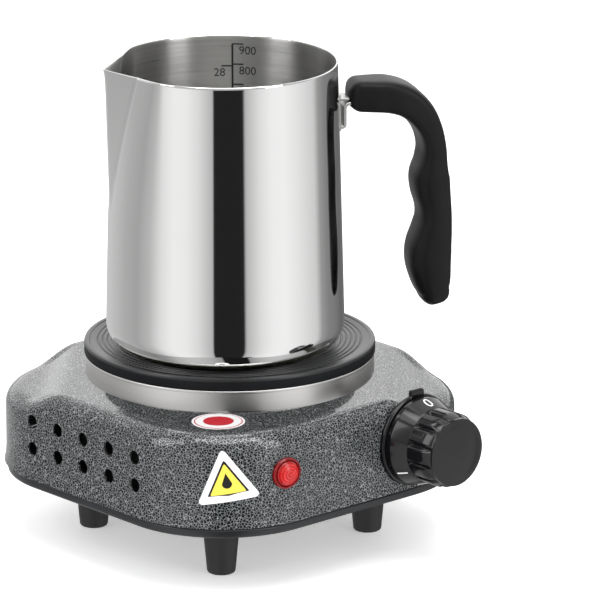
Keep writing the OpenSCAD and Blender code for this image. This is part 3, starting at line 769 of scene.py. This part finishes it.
lamp = {"flange": 6.7, "rim": 1.5, "groove": 5.55, "dome": 5.3, "apex": 4.0, "ball": 8.2, "barrel": 4.9,
        "wall": 3.9}
profile = [(lamp["wall"], -12), (lamp["barrel"], -12)]
profile += filleted([(lamp["barrel"], -2), (lamp["barrel"], 0.03), (lamp["flange"], 0.03, 0.2),
                     (lamp["flange"], lamp["rim"], 0.6),
                     (lamp["groove"] + 0.35, lamp["rim"] + 0.25, 0.25), (lamp["groove"], 0.8, 0.2),
                     (lamp["dome"], 0.8, 0.15), (lamp["dome"], 1.9)], 4)
for step in range(12, -1, -1):
    out = (lamp["dome"] - 0.15) * step / 12
    profile.append((out, lamp["apex"] - lamp["ball"] + math.sqrt(lamp["ball"] ** 2 - out * out)))
profile += [(0, 1.4), (lamp["wall"], 1.4)]
cap = newObject("lamp_cap", lathe(profile, 96, closed=True), 30)
cap.matrix_world = placedAt(lampPlace)
settle(cap, "stove", "lens_red", [paints["lens_red"]], "lamp_lens")


# ---- cord bushing

bushing = {"bore": 3.5, "flange": 8, "flangeThick": 3, "root": 7, "tip": 5.4, "length": 12, "ribs": 4,
           "groove": 0.7, "neck": 5.8, "inside": -5}
corners = [(bushing["bore"], bushing["inside"]), (bushing["neck"], bushing["inside"], 0.4),
           (bushing["neck"], -1), (bushing["neck"], 0.02), (bushing["flange"], 0.02),
           (bushing["flange"], bushing["flangeThick"], 0.8)]
for i in range(bushing["ribs"]):
    share = (i + 0.1) / bushing["ribs"]
    out = bushing["root"] + (bushing["tip"] - bushing["root"]) * share
    up = bushing["flangeThick"] + (bushing["length"] - bushing["flangeThick"]) * share
    corners += [(out - bushing["groove"], up, 0.2), (out - bushing["groove"], up + 0.7, 0.2),
                (out, up + 0.7, 0.25), (out - 0.15, up + 1.9, 0.25)]
corners += [(bushing["tip"], bushing["length"], 0.6), (bushing["bore"], bushing["length"], 0.4)]
sleeve = newObject("cord_bushing_sleeve", lathe(filleted(corners, 3), 72, closed=True))
sleeve.matrix_world = placedAt(cordPlace)
settle(sleeve, "stove", "feet_rubber", [paints["feet_rubber"]], "cord_bushing")


# ---- labels

def patch(halfWidth, low, high, lift, rowsCount=24, columns=14):
    # a thin film whose half width at each height is given, as (across, up, lift)
    front = []
    for j in range(rowsCount + 1):
        up = low + (high - low) * j / rowsCount
        wide = max(0.01, halfWidth(up))
        front.append([(wide * (2 * i / columns - 1), up, lift) for i in range(columns + 1)])
    points = [p for row in front for p in row]
    back = [(p[0], p[1], p[2] - 0.04) for p in points]
    faces = []
    for j in range(rowsCount):
        for i in range(columns):
            a = j * (columns + 1) + i
            b, c, d = a + 1, a + columns + 2, a + columns + 1
            faces += [(a, b, c, d)]
    n = len(points)
    faces += [tuple(n + i for i in face[::-1]) for face in faces]
    rim = [i for i in range(columns + 1)]
    rim += [j * (columns + 1) + columns for j in range(1, rowsCount + 1)]
    rim += [rowsCount * (columns + 1) + i for i in range(columns - 1, -1, -1)]
    rim += [j * (columns + 1) for j in range(rowsCount - 1, 0, -1)]
    for a, b in zip(rim, rim[1:] + rim[:1]):
        faces.append((a, a + n, b + n, b))
    return points + back, faces


def triangle(reach, rounding):
    # half width of an upright rounded triangle; reach is from its middle to a corner's rounding centre
    def halfWidth(up):
        low, top = -reach / 2, reach
        widest = 0
        for step in range(60):
            share = step / 59
            y = top + (low - top) * share
            x = reach * math.sqrt(3) / 2 * share
            if abs(up - y) <= rounding:
                widest = max(widest, x + math.sqrt(rounding * rounding - (up - y) ** 2))
        return widest
    return halfWidth, -reach / 2 - rounding, reach + rounding


def drop(radius, tall):
    # a plain drop: round below, drawn to a point above
    def halfWidth(up):
        if up < 0:
            return math.sqrt(max(0, radius * radius - up * up))
        return radius * max(0, 1 - up / tall) ** 1.25 * (1 + 0.35 * up / tall)
    return halfWidth, -radius, tall


def oval(radius):
    return (lambda up: math.sqrt(max(0, radius * radius - up * up))), -radius, radius


sticker = {"turn": 39, "tilt": 8, "reach": 13.4, "round": 1.2, "ink": 9.6, "yellow": 8.3, "dropRadius": 2.1,
           "dropTall": 4.8}
heartZ = middle("warning_label").z - 0.2


def onCorner(shape):
    # wraps a flat patch round the housing's front corner
    tilt = math.radians(sticker["tilt"])
    points = []
    for across, up, lift in shape[0]:
        x = across * math.cos(tilt) - up * math.sin(tilt)
        y = across * math.sin(tilt) + up * math.cos(tilt)
        turn = -90 - sticker["turn"] + math.degrees(x / housing["corner"])
        heart = plateAxis + Vector((housing["corner"] - half, housing["corner"] - half, heartZ + y))
        points.append(heart + direction(turn) * (housing["corner"] + lift))
    return points, shape[1]


def layers(name, node, parts, wrap, slotName):
    shapes, marks, materials = [], [], []
    for i, (form, material) in enumerate(parts):
        shape = wrap(patch(*form, 0.1 + 0.06 * i))
        shapes.append(shape)
        marks += [i] * len(shape[1])
        materials.append(material)
    sticker = newObject(name, joined(*shapes), 60, marks)
    sticker.visible_glossy = False
    return settle(sticker, "stove", slotName, materials, node)


layers("triangle_sticker", "warning_label",
       [(triangle(sticker["reach"], sticker["round"]), paints["label_white"]),
        (triangle(sticker["ink"], 0.5), inkBlack), (triangle(sticker["yellow"], 0.3), paints["label_yellow"]),
        (drop(sticker["dropRadius"], sticker["dropTall"]), inkBlack)], onCorner, "label_yellow")

badge = {"radius": 11.2, "ringOut": 10.2, "ringIn": 9.7, "dot": 6.4}
badgeSpot = middle("round_label")


def onTop(shape):
    spin = Matrix.Rotation(math.radians(-45), 3, "Z")
    return [spin @ Vector((x, y, 0)) + Vector((badgeSpot.x, badgeSpot.y, topZ + lift))
            for x, y, lift in shape[0]], shape[1]


layers("round_sticker", "round_label",
       [(oval(badge["radius"]), paints["label_white"]), (oval(badge["ringOut"]), inkRed),
        (oval(badge["ringIn"]), paints["label_white"]), (oval(badge["dot"]), inkRed)], onTop, "label_white")
print("lamp, bushing and labels done")


# ---- pot

pot = {"height": potHigh.z - potLow.z, "rim": 48, "base": 51, "edge": 11, "wall": 0.8, "handleTurn": -28,
       "spoutTurn": 149, "reach": 51.6, "lip": 0.9, "lipDepth": 2.5, "creaseTurn": 27, "pinch": 2.2,
       "root": 48, "fold": 0.28, "foldWidth": 0.9, "depth": 66, "dip": 1.0, "bottom": 1.0}
lean = (pot["base"] - pot["rim"]) / (pot["height"] - pot["edge"])


def bodyRadius(up):
    return pot["base"] - lean * (up - pot["edge"])


def chord(turn, firstTurn, firstOut, lastTurn, lastOut):
    # distance, at an angle, to the straight line between two points seen from above
    first, last = direction(firstTurn) * firstOut, direction(lastTurn) * lastOut
    side = last - first
    ray = direction(turn)
    return (first.x * side.y - first.y * side.x) / (ray.x * side.y - ray.y * side.x)


def creased(turn, up):
    turn = abs(turn)
    out = bodyRadius(up)
    share = 1 - (pot["height"] - up) / pot["depth"]
    if share <= 0 or turn >= pot["root"]:
        return out
    soft = share ** 0.8
    crease = max(2.0, pot["creaseTurn"] * share)
    creaseOut = out - pot["pinch"] * soft
    flick = pot["lip"] * math.exp((up - pot["height"]) / pot["lipDepth"])
    tip = out + (pot["reach"] - pot["rim"]) * share + flick
    fold = pot["fold"] * ease(share * 5) * math.exp(-((turn - crease) / pot["foldWidth"]) ** 2)
    if turn < crease:
        return chord(turn, 0, tip, crease, creaseOut) - fold
    blend = ease((pot["root"] - turn) / (pot["root"] - crease))
    return out - pot["pinch"] * soft * blend ** 0.9 - fold


def spoutRadius(turn, up):
    # the pressed form, its corners rounded by a short average
    width = 0.9 if abs(turn) < 8 else 0.35
    return sum(creased(turn + width * k, up) for k in (-2, -1, 0, 1, 2)) / 5


turns = [t * 0.75 for t in range(-68, 69)]
turns += [51 + (360 - 102) * i / 130 for i in range(1, 130)]


def potRow(up, inset=0.0, flat=None):
    # flat gives a plain circle of that radius, used for the base
    row = []
    for turn in turns:
        signed = turn if turn <= 180 else turn - 360
        out = flat if flat is not None else spoutRadius(signed, up) - inset
        dip = pot["dip"] * ease(1 - abs(signed) / 50) * ease((up - pot["height"] + 16) / 16)
        row.append(potAxis + direction(pot["spoutTurn"] + turn) * out + Vector((0, 0, up - dip)))
    return row


wallTop = pot["height"] - pot["wall"] * 0.5
wallLevels = [pot["edge"] + (wallTop - pot["edge"]) * (1 - (1 - s / 40) ** 1.25) for s in range(1, 41)]
flatRadius = pot["base"] - pot["edge"]
outerRows = [[potAxis + Vector((0, 0, pot["bottom"]))]]
outerRows += [potRow(pot["bottom"], flat=f) for f in (10, 20, 30, flatRadius - 5)]
outerRows += [potRow(pot["bottom"] * (1 - ease(s / 4)), flat=flatRadius - 5 + 4 * s / 4) for s in range(1, 5)]
for step in range(0, 13):
    bend = math.radians(90 * step / 12)
    outerRows.append(potRow(pot["edge"] * (1 - math.cos(bend)),
                            flat=flatRadius + pot["edge"] * math.sin(bend)))
outerRows += [potRow(up) for up in wallLevels]
radius = pot["wall"] / 2
rimRows = [potRow(wallTop + radius * math.sin(math.radians(a)), radius * (1 - math.cos(math.radians(a))))
           for a in (30, 60, 90, 120, 150)]
innerEdge = pot["edge"] - pot["wall"]
innerRows = [potRow(up, pot["wall"]) for up in wallLevels[::-1]]
for step in range(12, -1, -1):
    bend = math.radians(90 * step / 12)
    innerRows.append(potRow(pot["wall"] + innerEdge * (1 - math.cos(bend)),
                            flat=flatRadius + innerEdge * math.sin(bend)))
innerRows += [potRow(pot["wall"] + pot["bottom"] * ease((4 - s) / 4),
                     flat=flatRadius - 5 + s) for s in range(3, -1, -1)]
innerRows += [potRow(pot["bottom"] + pot["wall"], flat=f) for f in (30, 20, 10)]
innerRows.append([potAxis + Vector((0, 0, pot["bottom"] + pot["wall"]))])
points, faces = grid(outerRows + rimRows + innerRows)
firstInner = sum(len(row) for row in outerRows + rimRows)
marks = [1 if min(face) >= firstInner else 0 for face in faces]
vessel = newObject("pot_vessel", (points, faces), 24, marks)
settle(vessel, "pot", "pot_steel", [paints["pot_steel"], potInside], "pot_shell")


# ---- measure lines inside the pot

scale = {"turn": 44.6, "width": 0.85, "top": 3.9, "run": 70, "tick": 4.8, "line": 0.6, "text": 3.5,
         "gap": 6.6, "below": 3.0}


def onInside(shape, up):
    # wraps a flat shape round the inner wall, seen from inside the pot
    points = []
    for p in shape[0]:
        height = up + p.y
        out = bodyRadius(height) - pot["wall"] - 0.05 - max(0, p.z)
        turn = scale["turn"] - math.degrees(p.x / out)
        points.append(potAxis + direction(turn) * out + Vector((0, 0, height)))
    return points, shape[1]


def bar(left, right, low, high, cuts=4):
    rows = []
    for i in range(cuts + 1):
        x = left + (right - left) * i / cuts
        rows.append([Vector((x, low, 0)), Vector((x, high, 0)), Vector((x, high, 0.05)),
                     Vector((x, low, 0.05))])
    points, faces = grid(rows)
    return points, faces + [(0, 1, 2, 3), tuple(len(points) - 4 + i for i in (3, 2, 1, 0))]


def shifted(shape, x, y=0):
    return [Vector(p) + Vector((x, y, 0)) for p in shape[0]], shape[1]


top = pot["height"] - scale["top"]
prints = [onInside(bar(-scale["width"] / 2, scale["width"] / 2, -scale["run"], 0), top)]
marksAt = [(0, "900"), (9, "800"), (18, "700"), (27, "600"), (36, "500")]
for down, figure in marksAt:
    prints.append(onInside(bar(0, scale["tick"], -scale["line"] / 2, scale["line"] / 2), top - down))
    prints.append(onInside(shifted(lettering(figure, scale["text"], 0.05), scale["gap"]),
                           top - down - scale["below"]))
for down, figure in ((9.8, "28"), (21.5, "24"), (33.2, "20")):
    prints.append(onInside(bar(-scale["tick"], 0, -scale["line"] / 2, scale["line"] / 2), top - down))
    prints.append(onInside(shifted(lettering(figure, scale["text"], 0.05), -scale["gap"] + 1),
                           top - down - scale["below"]))
settle(newObject("pot_measure_lines", joined(*prints), 30), "pot", "black_paint", [inkBlack])
print("pot pressed")


# ---- handle

grip = {"width": 23, "arm": 18.5, "squareArm": 5.0, "squareEnd": 2.9, "around": 64, "between": 6,
        "startCap": 5.6}
# out from the pot's wall, height from the arm, half thickness, share of the half width
stations = [
    (10.5, 0.7, 6.8, 0.8), (16, 0.5, 6.9, 0.9), (23, -0.1, 7.0, 0.97), (30, -2.6, 6.8, 1), (36, -8, 6.2, 1),
    (40.2, -15.5, 5.3, 1), (42.1, -23.5, 5.2, 1), (42, -30, 6.2, 1), (41.4, -36.5, 8, 1), (41.8, -42.5, 8, 1),
    (43, -49.5, 7.2, 1), (43.3, -55.5, 7.2, 1), (42.5, -61.5, 8.2, 1), (41.2, -68.5, 9.4, 1),
    (41, -74.5, 9.4, 1), (41.8, -80.5, 8.6, 0.98), (42.6, -85, 7.6, 0.93), (43.2, -87.5, 6.6, 0.88)]
armZ = pot["height"] - grip["arm"]
armOut = bodyRadius(armZ)


def smooth(values, at):
    # a curve through the values, read at a place between them
    i = min(len(values) - 2, int(at))
    t = at - i
    a, b = values[max(0, i - 1)], values[i]
    c, d = values[i + 1], values[min(len(values) - 1, i + 2)]
    return [0.5 * (2 * q + (r - p) * t + (2 * p - 5 * q + 4 * r - s) * t * t
                   + (3 * q - p - 3 * r + s) * t ** 3)
            for p, q, r, s in zip(a, b, c, d)]


def handlePoint(out, up, side):
    along = direction(pot["handleTurn"])
    across = direction(pot["handleTurn"] + 90)
    return potAxis + along * (armOut + out) + across * side + Vector((0, 0, armZ + up))


def section(out, up, thick, wide, slope, shrink=1.0):
    # boxy along the arm, rounder where the fingers close
    power = 2 / (grip["squareEnd"] + (grip["squareArm"] - grip["squareEnd"]) * ease((up + 34) / 26))
    row = []
    normal = Vector((-slope.y, slope.x))
    for i in range(grip["around"]):
        bend = math.radians(360 * i / grip["around"])
        c, s = math.cos(bend), math.sin(bend)
        a = math.copysign(abs(c) ** power, c) * thick * shrink
        b = math.copysign(abs(s) ** power, s) * grip["width"] / 2 * wide * shrink
        row.append(handlePoint(out + normal.x * a, up + normal.y * a, b))
    return row


count = (len(stations) - 1) * grip["between"]
spine = [smooth(stations, i / grip["between"]) for i in range(count + 1)]
rows = []
for i, (out, up, thick, wide) in enumerate(spine):
    before, after = spine[max(0, i - 1)], spine[min(count, i + 1)]
    slope = Vector((after[0] - before[0], after[1] - before[1])).normalized()
    if i == 0:
        for bend in (85, 70, 55, 40, 25, 12):
            back = math.sin(math.radians(bend)) * grip["startCap"]
            rows.append(section(out - slope.x * back, up - slope.y * back, thick, wide, slope,
                                math.cos(math.radians(bend)) ** 0.7))
        rows.insert(0, [handlePoint(out - slope.x * grip["startCap"], up - slope.y * grip["startCap"], 0)])
    rows.append(section(out, up, thick, wide, slope))
    if i == count:
        for bend in (12, 25, 40, 55, 70, 85):
            on = math.sin(math.radians(bend)) * thick
            rows.append(section(out + slope.x * on, up + slope.y * on, thick, wide, slope,
                                math.cos(math.radians(bend)) ** 0.8))
        rows.append([handlePoint(out + slope.x * thick, up + slope.y * thick, 0)])
holder = newObject("handle_moulding", grid(rows), 50)
settle(holder, "pot", "handle_black", [paints["handle_black"]], "handle_grip")


# ---- handle bracket

bracket = {"width": 10, "thick": 1.3, "pad": 1.0, "padWidth": 13, "padLow": -13.5, "padHigh": 2.5,
           "stay": 3.0, "low": -12.4, "rise": -2.2, "tongue": 26, "bend": 2.2}


def strip(line, width, thick, columns=10):
    # a bent strip: its side line swept across the width, square edges eased
    sides = []
    for i, p in enumerate(line):
        before, after = line[max(0, i - 1)], line[min(len(line) - 1, i + 1)]
        slope = (after - before).normalized()
        normal = Vector((-slope.y, slope.x)) * thick / 2
        sides.append((p + normal, p - normal))
    rows = []
    for side in [width * (i / columns - 0.5) for i in range(columns + 1)]:
        rows.append([handlePoint(a.x, a.y, side) for a, b in sides]
                    + [handlePoint(b.x, b.y, side) for a, b in sides[::-1]])
    points, faces = grid(rows)
    size, n = len(rows[0]), len(sides)
    for start in (0, len(points) - size):
        faces += [(start + i, start + i + 1, start + size - 2 - i, start + size - 1 - i)
                  for i in range(n - 1)]
    return points, faces


stay = filleted([(0.8, bracket["low"]), (bracket["stay"], bracket["low"], bracket["bend"]),
                 (bracket["stay"], bracket["rise"], bracket["bend"]), (bracket["tongue"], bracket["rise"])],
                 6)
link = filleted([(0.6, -0.2), (5, -0.2)])
rows = []
for i in range(13):
    side = bracket["padWidth"] * (i / 12 - 0.5)
    row = []
    for up, outward in ((bracket["padLow"], 0), (bracket["padHigh"], 0), (bracket["padHigh"], 1),
                        (bracket["padLow"], 1)):
        out = bodyRadius(armZ + up) + 0.02 + bracket["pad"] * outward
        row.append(handlePoint(math.sqrt(out * out - side * side) - armOut, up, side))
    rows.append(row)
points, faces = grid(rows)
pad = points, faces + [(0, 1, 2, 3), tuple(len(points) - 4 + i for i in (3, 2, 1, 0))]
hanger = newObject("handle_bracket_strip", joined(pad, strip(stay, bracket["width"], bracket["thick"]),
                                                  strip(link, bracket["width"] - 0.6,
                                                        bracket["thick"] - 0.1)), 35)
soften = hanger.modifiers.new("edges", "BEVEL")
soften.width, soften.segments, soften.limit_method = 0.25 * mm, 2, "ANGLE"
settle(hanger, "pot", "zinc_steel", [paints["zinc_steel"]], "handle_bracket")
print("handle moulded")


# ---- the pieces inside keep their own shapes

carried = {
    "zinc_steel": ["foot_screws", "cover_posts", "plate_stud", "element_cover", "clamp_bridge",
                   "clamp_washer", "clamp_nut",
                   "thermostat_plate", "thermostat_screws", "bush_nut", "knob_spindle", "lamp_clip",
                   "thermal_fuse", "fuse_clip", "earth_screw", "handle_screw", "handle_nut"],
    "shield_steel": ["heat_shield"], "coil_alloy": ["element_coil"],
    "ceramic": ["element_insulation", "thermostat_body", "terminal_block"],
    "brass_parts": ["thermostat_leaves", "bimetal_strip", "thermostat_bush", "terminal_screws", "earth_tag"],
    "neon_glass": ["lamp_tube"], "wire_brown": ["live_wire", "switched_wire"],
    "wire_blue": ["neutral_wire", "fuse_wire"], "wire_earth": ["earth_wire"], "wire_white": ["lamp_wires"]}
for slotName, nodes in carried.items():
    for node in nodes:
        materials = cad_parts[node].data.materials
        materials.clear()
        materials.append(paints[slotName])
print("inner pieces painted")


# ---- studio

studio = {"lens": 323.0, "away": 2312.0, "turn": -42.0, "rise": 16.2, "right": 30.2, "up": 15.8,
          "tent": 1500.0, "tentLow": -1400.0, "tentSplit": 120.0, "tentHigh": 2400.0, "floor": 6000.0}
# turn from the camera's side, brightness; the pot's wall shows these as upright bands
panels = [(-180, 0.6), (-145, 0.62), (-125, 0.55), (-112, 0.48), (-93, 0.42), (-77, 0.55), (-63, 0.85),
          (-50, 1.0), (-37, 0.97), (-25, 0.82), (-11, 0.52), (-10.2, 0.018), (19.2, 0.018), (20, 0.52),
          (35, 0.85),
          (47, 1.0), (60, 1.03), (75, 0.92), (99, 0.7), (107, 0.36), (119, 0.25), (132, 0.22), (150, 0.14),
          (180, 0.2)]

# the same, higher up: the flat tops and the plate show these
highPanels = [(-180, 1.5), (-120, 1.0), (-90, 0.5), (-60, 0.6), (0, 0.5), (60, 0.6), (90, 0.5), (120, 1.0),
              (180, 1.5)]
lidPanels = [(-180, 0.5), (-150, 0.9), (-125, 0.12), (-100, 0.08), (-78, 0.2), (-58, 1.1), (-44, 1.0),
             (-26, 0.3), (-6, 0.22),
             (14, 0.5), (26, 0.25), (42, 0.8), (56, 1.1), (68, 0.7), (84, 0.08), (120, 0.06), (150, 0.6),
             (180, 0.5)]


def glow(name, stops, strength=1.0):
    material = bpy.data.materials.new(name)
    material.use_nodes = True
    tree = material.node_tree
    tree.nodes.clear()
    paint = Paint.__new__(Paint)
    paint.material, paint.tree = material, tree
    light = paint.add("ShaderNodeEmission", {}, {"Strength": strength})
    here = paint.add("ShaderNodeTexCoord", {}, [], 3)
    x, y, z = paint.parts(here)
    turn = x.maths("ARCTAN2", x, 0 - y) * (180 / math.pi) - studio["turn"]
    share = turn.maths("FRACT", (turn + 180) / 360, 0)
    shade = paint.ramp(share, [((at + 180) / 360, level) for at, level in stops])
    tree.links.new(shade.socket, light.socket.node.inputs["Color"])
    out = tree.nodes.new("ShaderNodeOutputMaterial")
    tree.links.new(light.socket, out.inputs["Surface"])
    return material


def stagePiece(name, shape, material, **shown):
    obj = newObject(name, shape)
    obj.data.materials.append(material)
    for key, value in shown.items():
        setattr(obj, "visible_" + key, value)
    return obj


r = studio["floor"]
floorPaint = Paint("floorPaint", Specular_IOR_Level=0.2, Emission_Strength=0.38)
floorPaint.shader.inputs["Emission Color"].default_value = (1, 1, 1, 1)
mottle = floorPaint.noise(0.01, 2)
floorPaint.feed({"Base Color": floorPaint.mixed(mottle, (0.93, 0.93, 0.93), (0.95, 0.95, 0.95)),
                 "Roughness": 0.6 + 0.1 * mottle})
stagePiece("floor", ([(-r, -r, 0), (r, -r, 0), (r, r, 0), (-r, r, 0)], [(0, 1, 2, 3)]), floorPaint.material,
           glossy=False)
tent = stagePiece("tent", lathe([(studio["tent"], studio["tentLow"]),
                                 (studio["tent"], studio["tentSplit"])], 180),
                  glow("tentGlow", panels), camera=False, diffuse=False, shadow=False, transmission=False)
stagePiece("tent_high", lathe([(studio["tent"], studio["tentSplit"]), (studio["tent"], studio["tentHigh"])],
                              180),
           glow("tentHighGlow", highPanels), camera=False, diffuse=False, shadow=False, transmission=False)
stagePiece("tent_bottom", lathe([(0, studio["tentLow"]), (studio["tent"], studio["tentLow"])], 180),
           tent.data.materials[0], camera=False, diffuse=False, shadow=False, transmission=False)
stagePiece("tent_lid", lathe([(0, studio["tentHigh"]), (studio["tent"], studio["tentHigh"])], 180),
           glow("lidGlow", lidPanels, 2.6), camera=False, diffuse=False, shadow=False, transmission=False)

# only reflections see these two slabs inside the housing, which reflections themselves pass through: a dark
# core for the vents is painted shade for the housing's inside, and a banded glow over it is a painted
# reflection standing in for the housing top
def slab(name, inset, low, high, material):
    rows = []
    for share, level in ((0.001, low), (1, low), (1, high), (0.001, high)):
        row = []
        for step in range(120):
            out = outline(step * 3, inset) * share
            row.append(plateAxis + direction(step * 3) * out + Vector((0, 0, level)))
        rows.append(row)
    stagePiece(name, grid(rows), material, camera=False, diffuse=False, shadow=False, transmission=False)


core = {"inset": 5, "low": 34, "high": 62, "dark": 0.004}
over = {"inset": 4.5, "low": 62.4, "high": 62.7, "turn": 0.62, "strength": 0.6}
slab("painted_shade_core", core["inset"], core["low"], core["high"],
     glow("coreGlow", [(-180, core["dark"]), (180, core["dark"])]))
slab("painted_reflection_top", over["inset"], over["low"], over["high"],
     glow("topGlow", [(at * over["turn"], level) for at, level in panels], over["strength"]))

world = bpy.data.worlds.new("studio")
bpy.context.scene.world = world
world.use_nodes = True
world.node_tree.nodes["Background"].inputs["Color"].default_value = (1, 1, 1, 1)
world.node_tree.nodes["Background"].inputs["Strength"].default_value = 0.85

look = direction(90 + studio["turn"])  # level direction from the camera to the object
rightward = direction(studio["turn"])
rise = math.radians(studio["rise"])
away = Vector((-look.x * math.cos(rise), -look.y * math.cos(rise), math.sin(rise)))
upward = Vector((look.x * math.sin(rise), look.y * math.sin(rise), math.cos(rise)))
aim = plateAxis + Vector((0, 0, plateHigh.z)) + rightward * studio["right"] + upward * studio["up"]


def softbox(name, turn, up, distance, size, power):
    lamp = bpy.data.lights.new(name, "AREA")
    lamp.shape, lamp.size, lamp.size_y, lamp.energy = "RECTANGLE", size[0] * mm, size[1] * mm, power
    box = bpy.data.objects.new(name, lamp)
    side = direction(studio["turn"] - 90 + turn)
    spot = (side * (distance * math.cos(math.radians(up)))
            + Vector((0, 0, distance * math.sin(math.radians(up)))))
    heart = Vector((0, 0, 90))
    box.location = (heart + spot) * mm
    box.rotation_mode = "QUATERNION"
    box.rotation_quaternion = spot.to_track_quat("Z", "Y")
    bpy.context.scene.collection.objects.link(box)
    return box


softbox("top_light", 20, 72, 1300, (900, 900), 9)
softbox("left_light", -62, 30, 1200, (500, 900), 5)
softbox("right_light", 50, 24, 1200, (400, 900), 4)

camera = bpy.data.cameras.new("camera")
camera.lens, camera.sensor_width = studio["lens"], 36
camera.clip_start, camera.clip_end = 0.1, 50
viewer = bpy.data.objects.new("camera", camera)
viewer.location = (aim + away * studio["away"]) * mm
viewer.rotation_mode = "QUATERNION"
viewer.rotation_quaternion = away.to_track_quat("Z", "Y")
bpy.context.scene.collection.objects.link(viewer)
bpy.context.scene.camera = viewer
bpy.context.scene.view_settings.view_transform = "Standard"

print("scene ready")
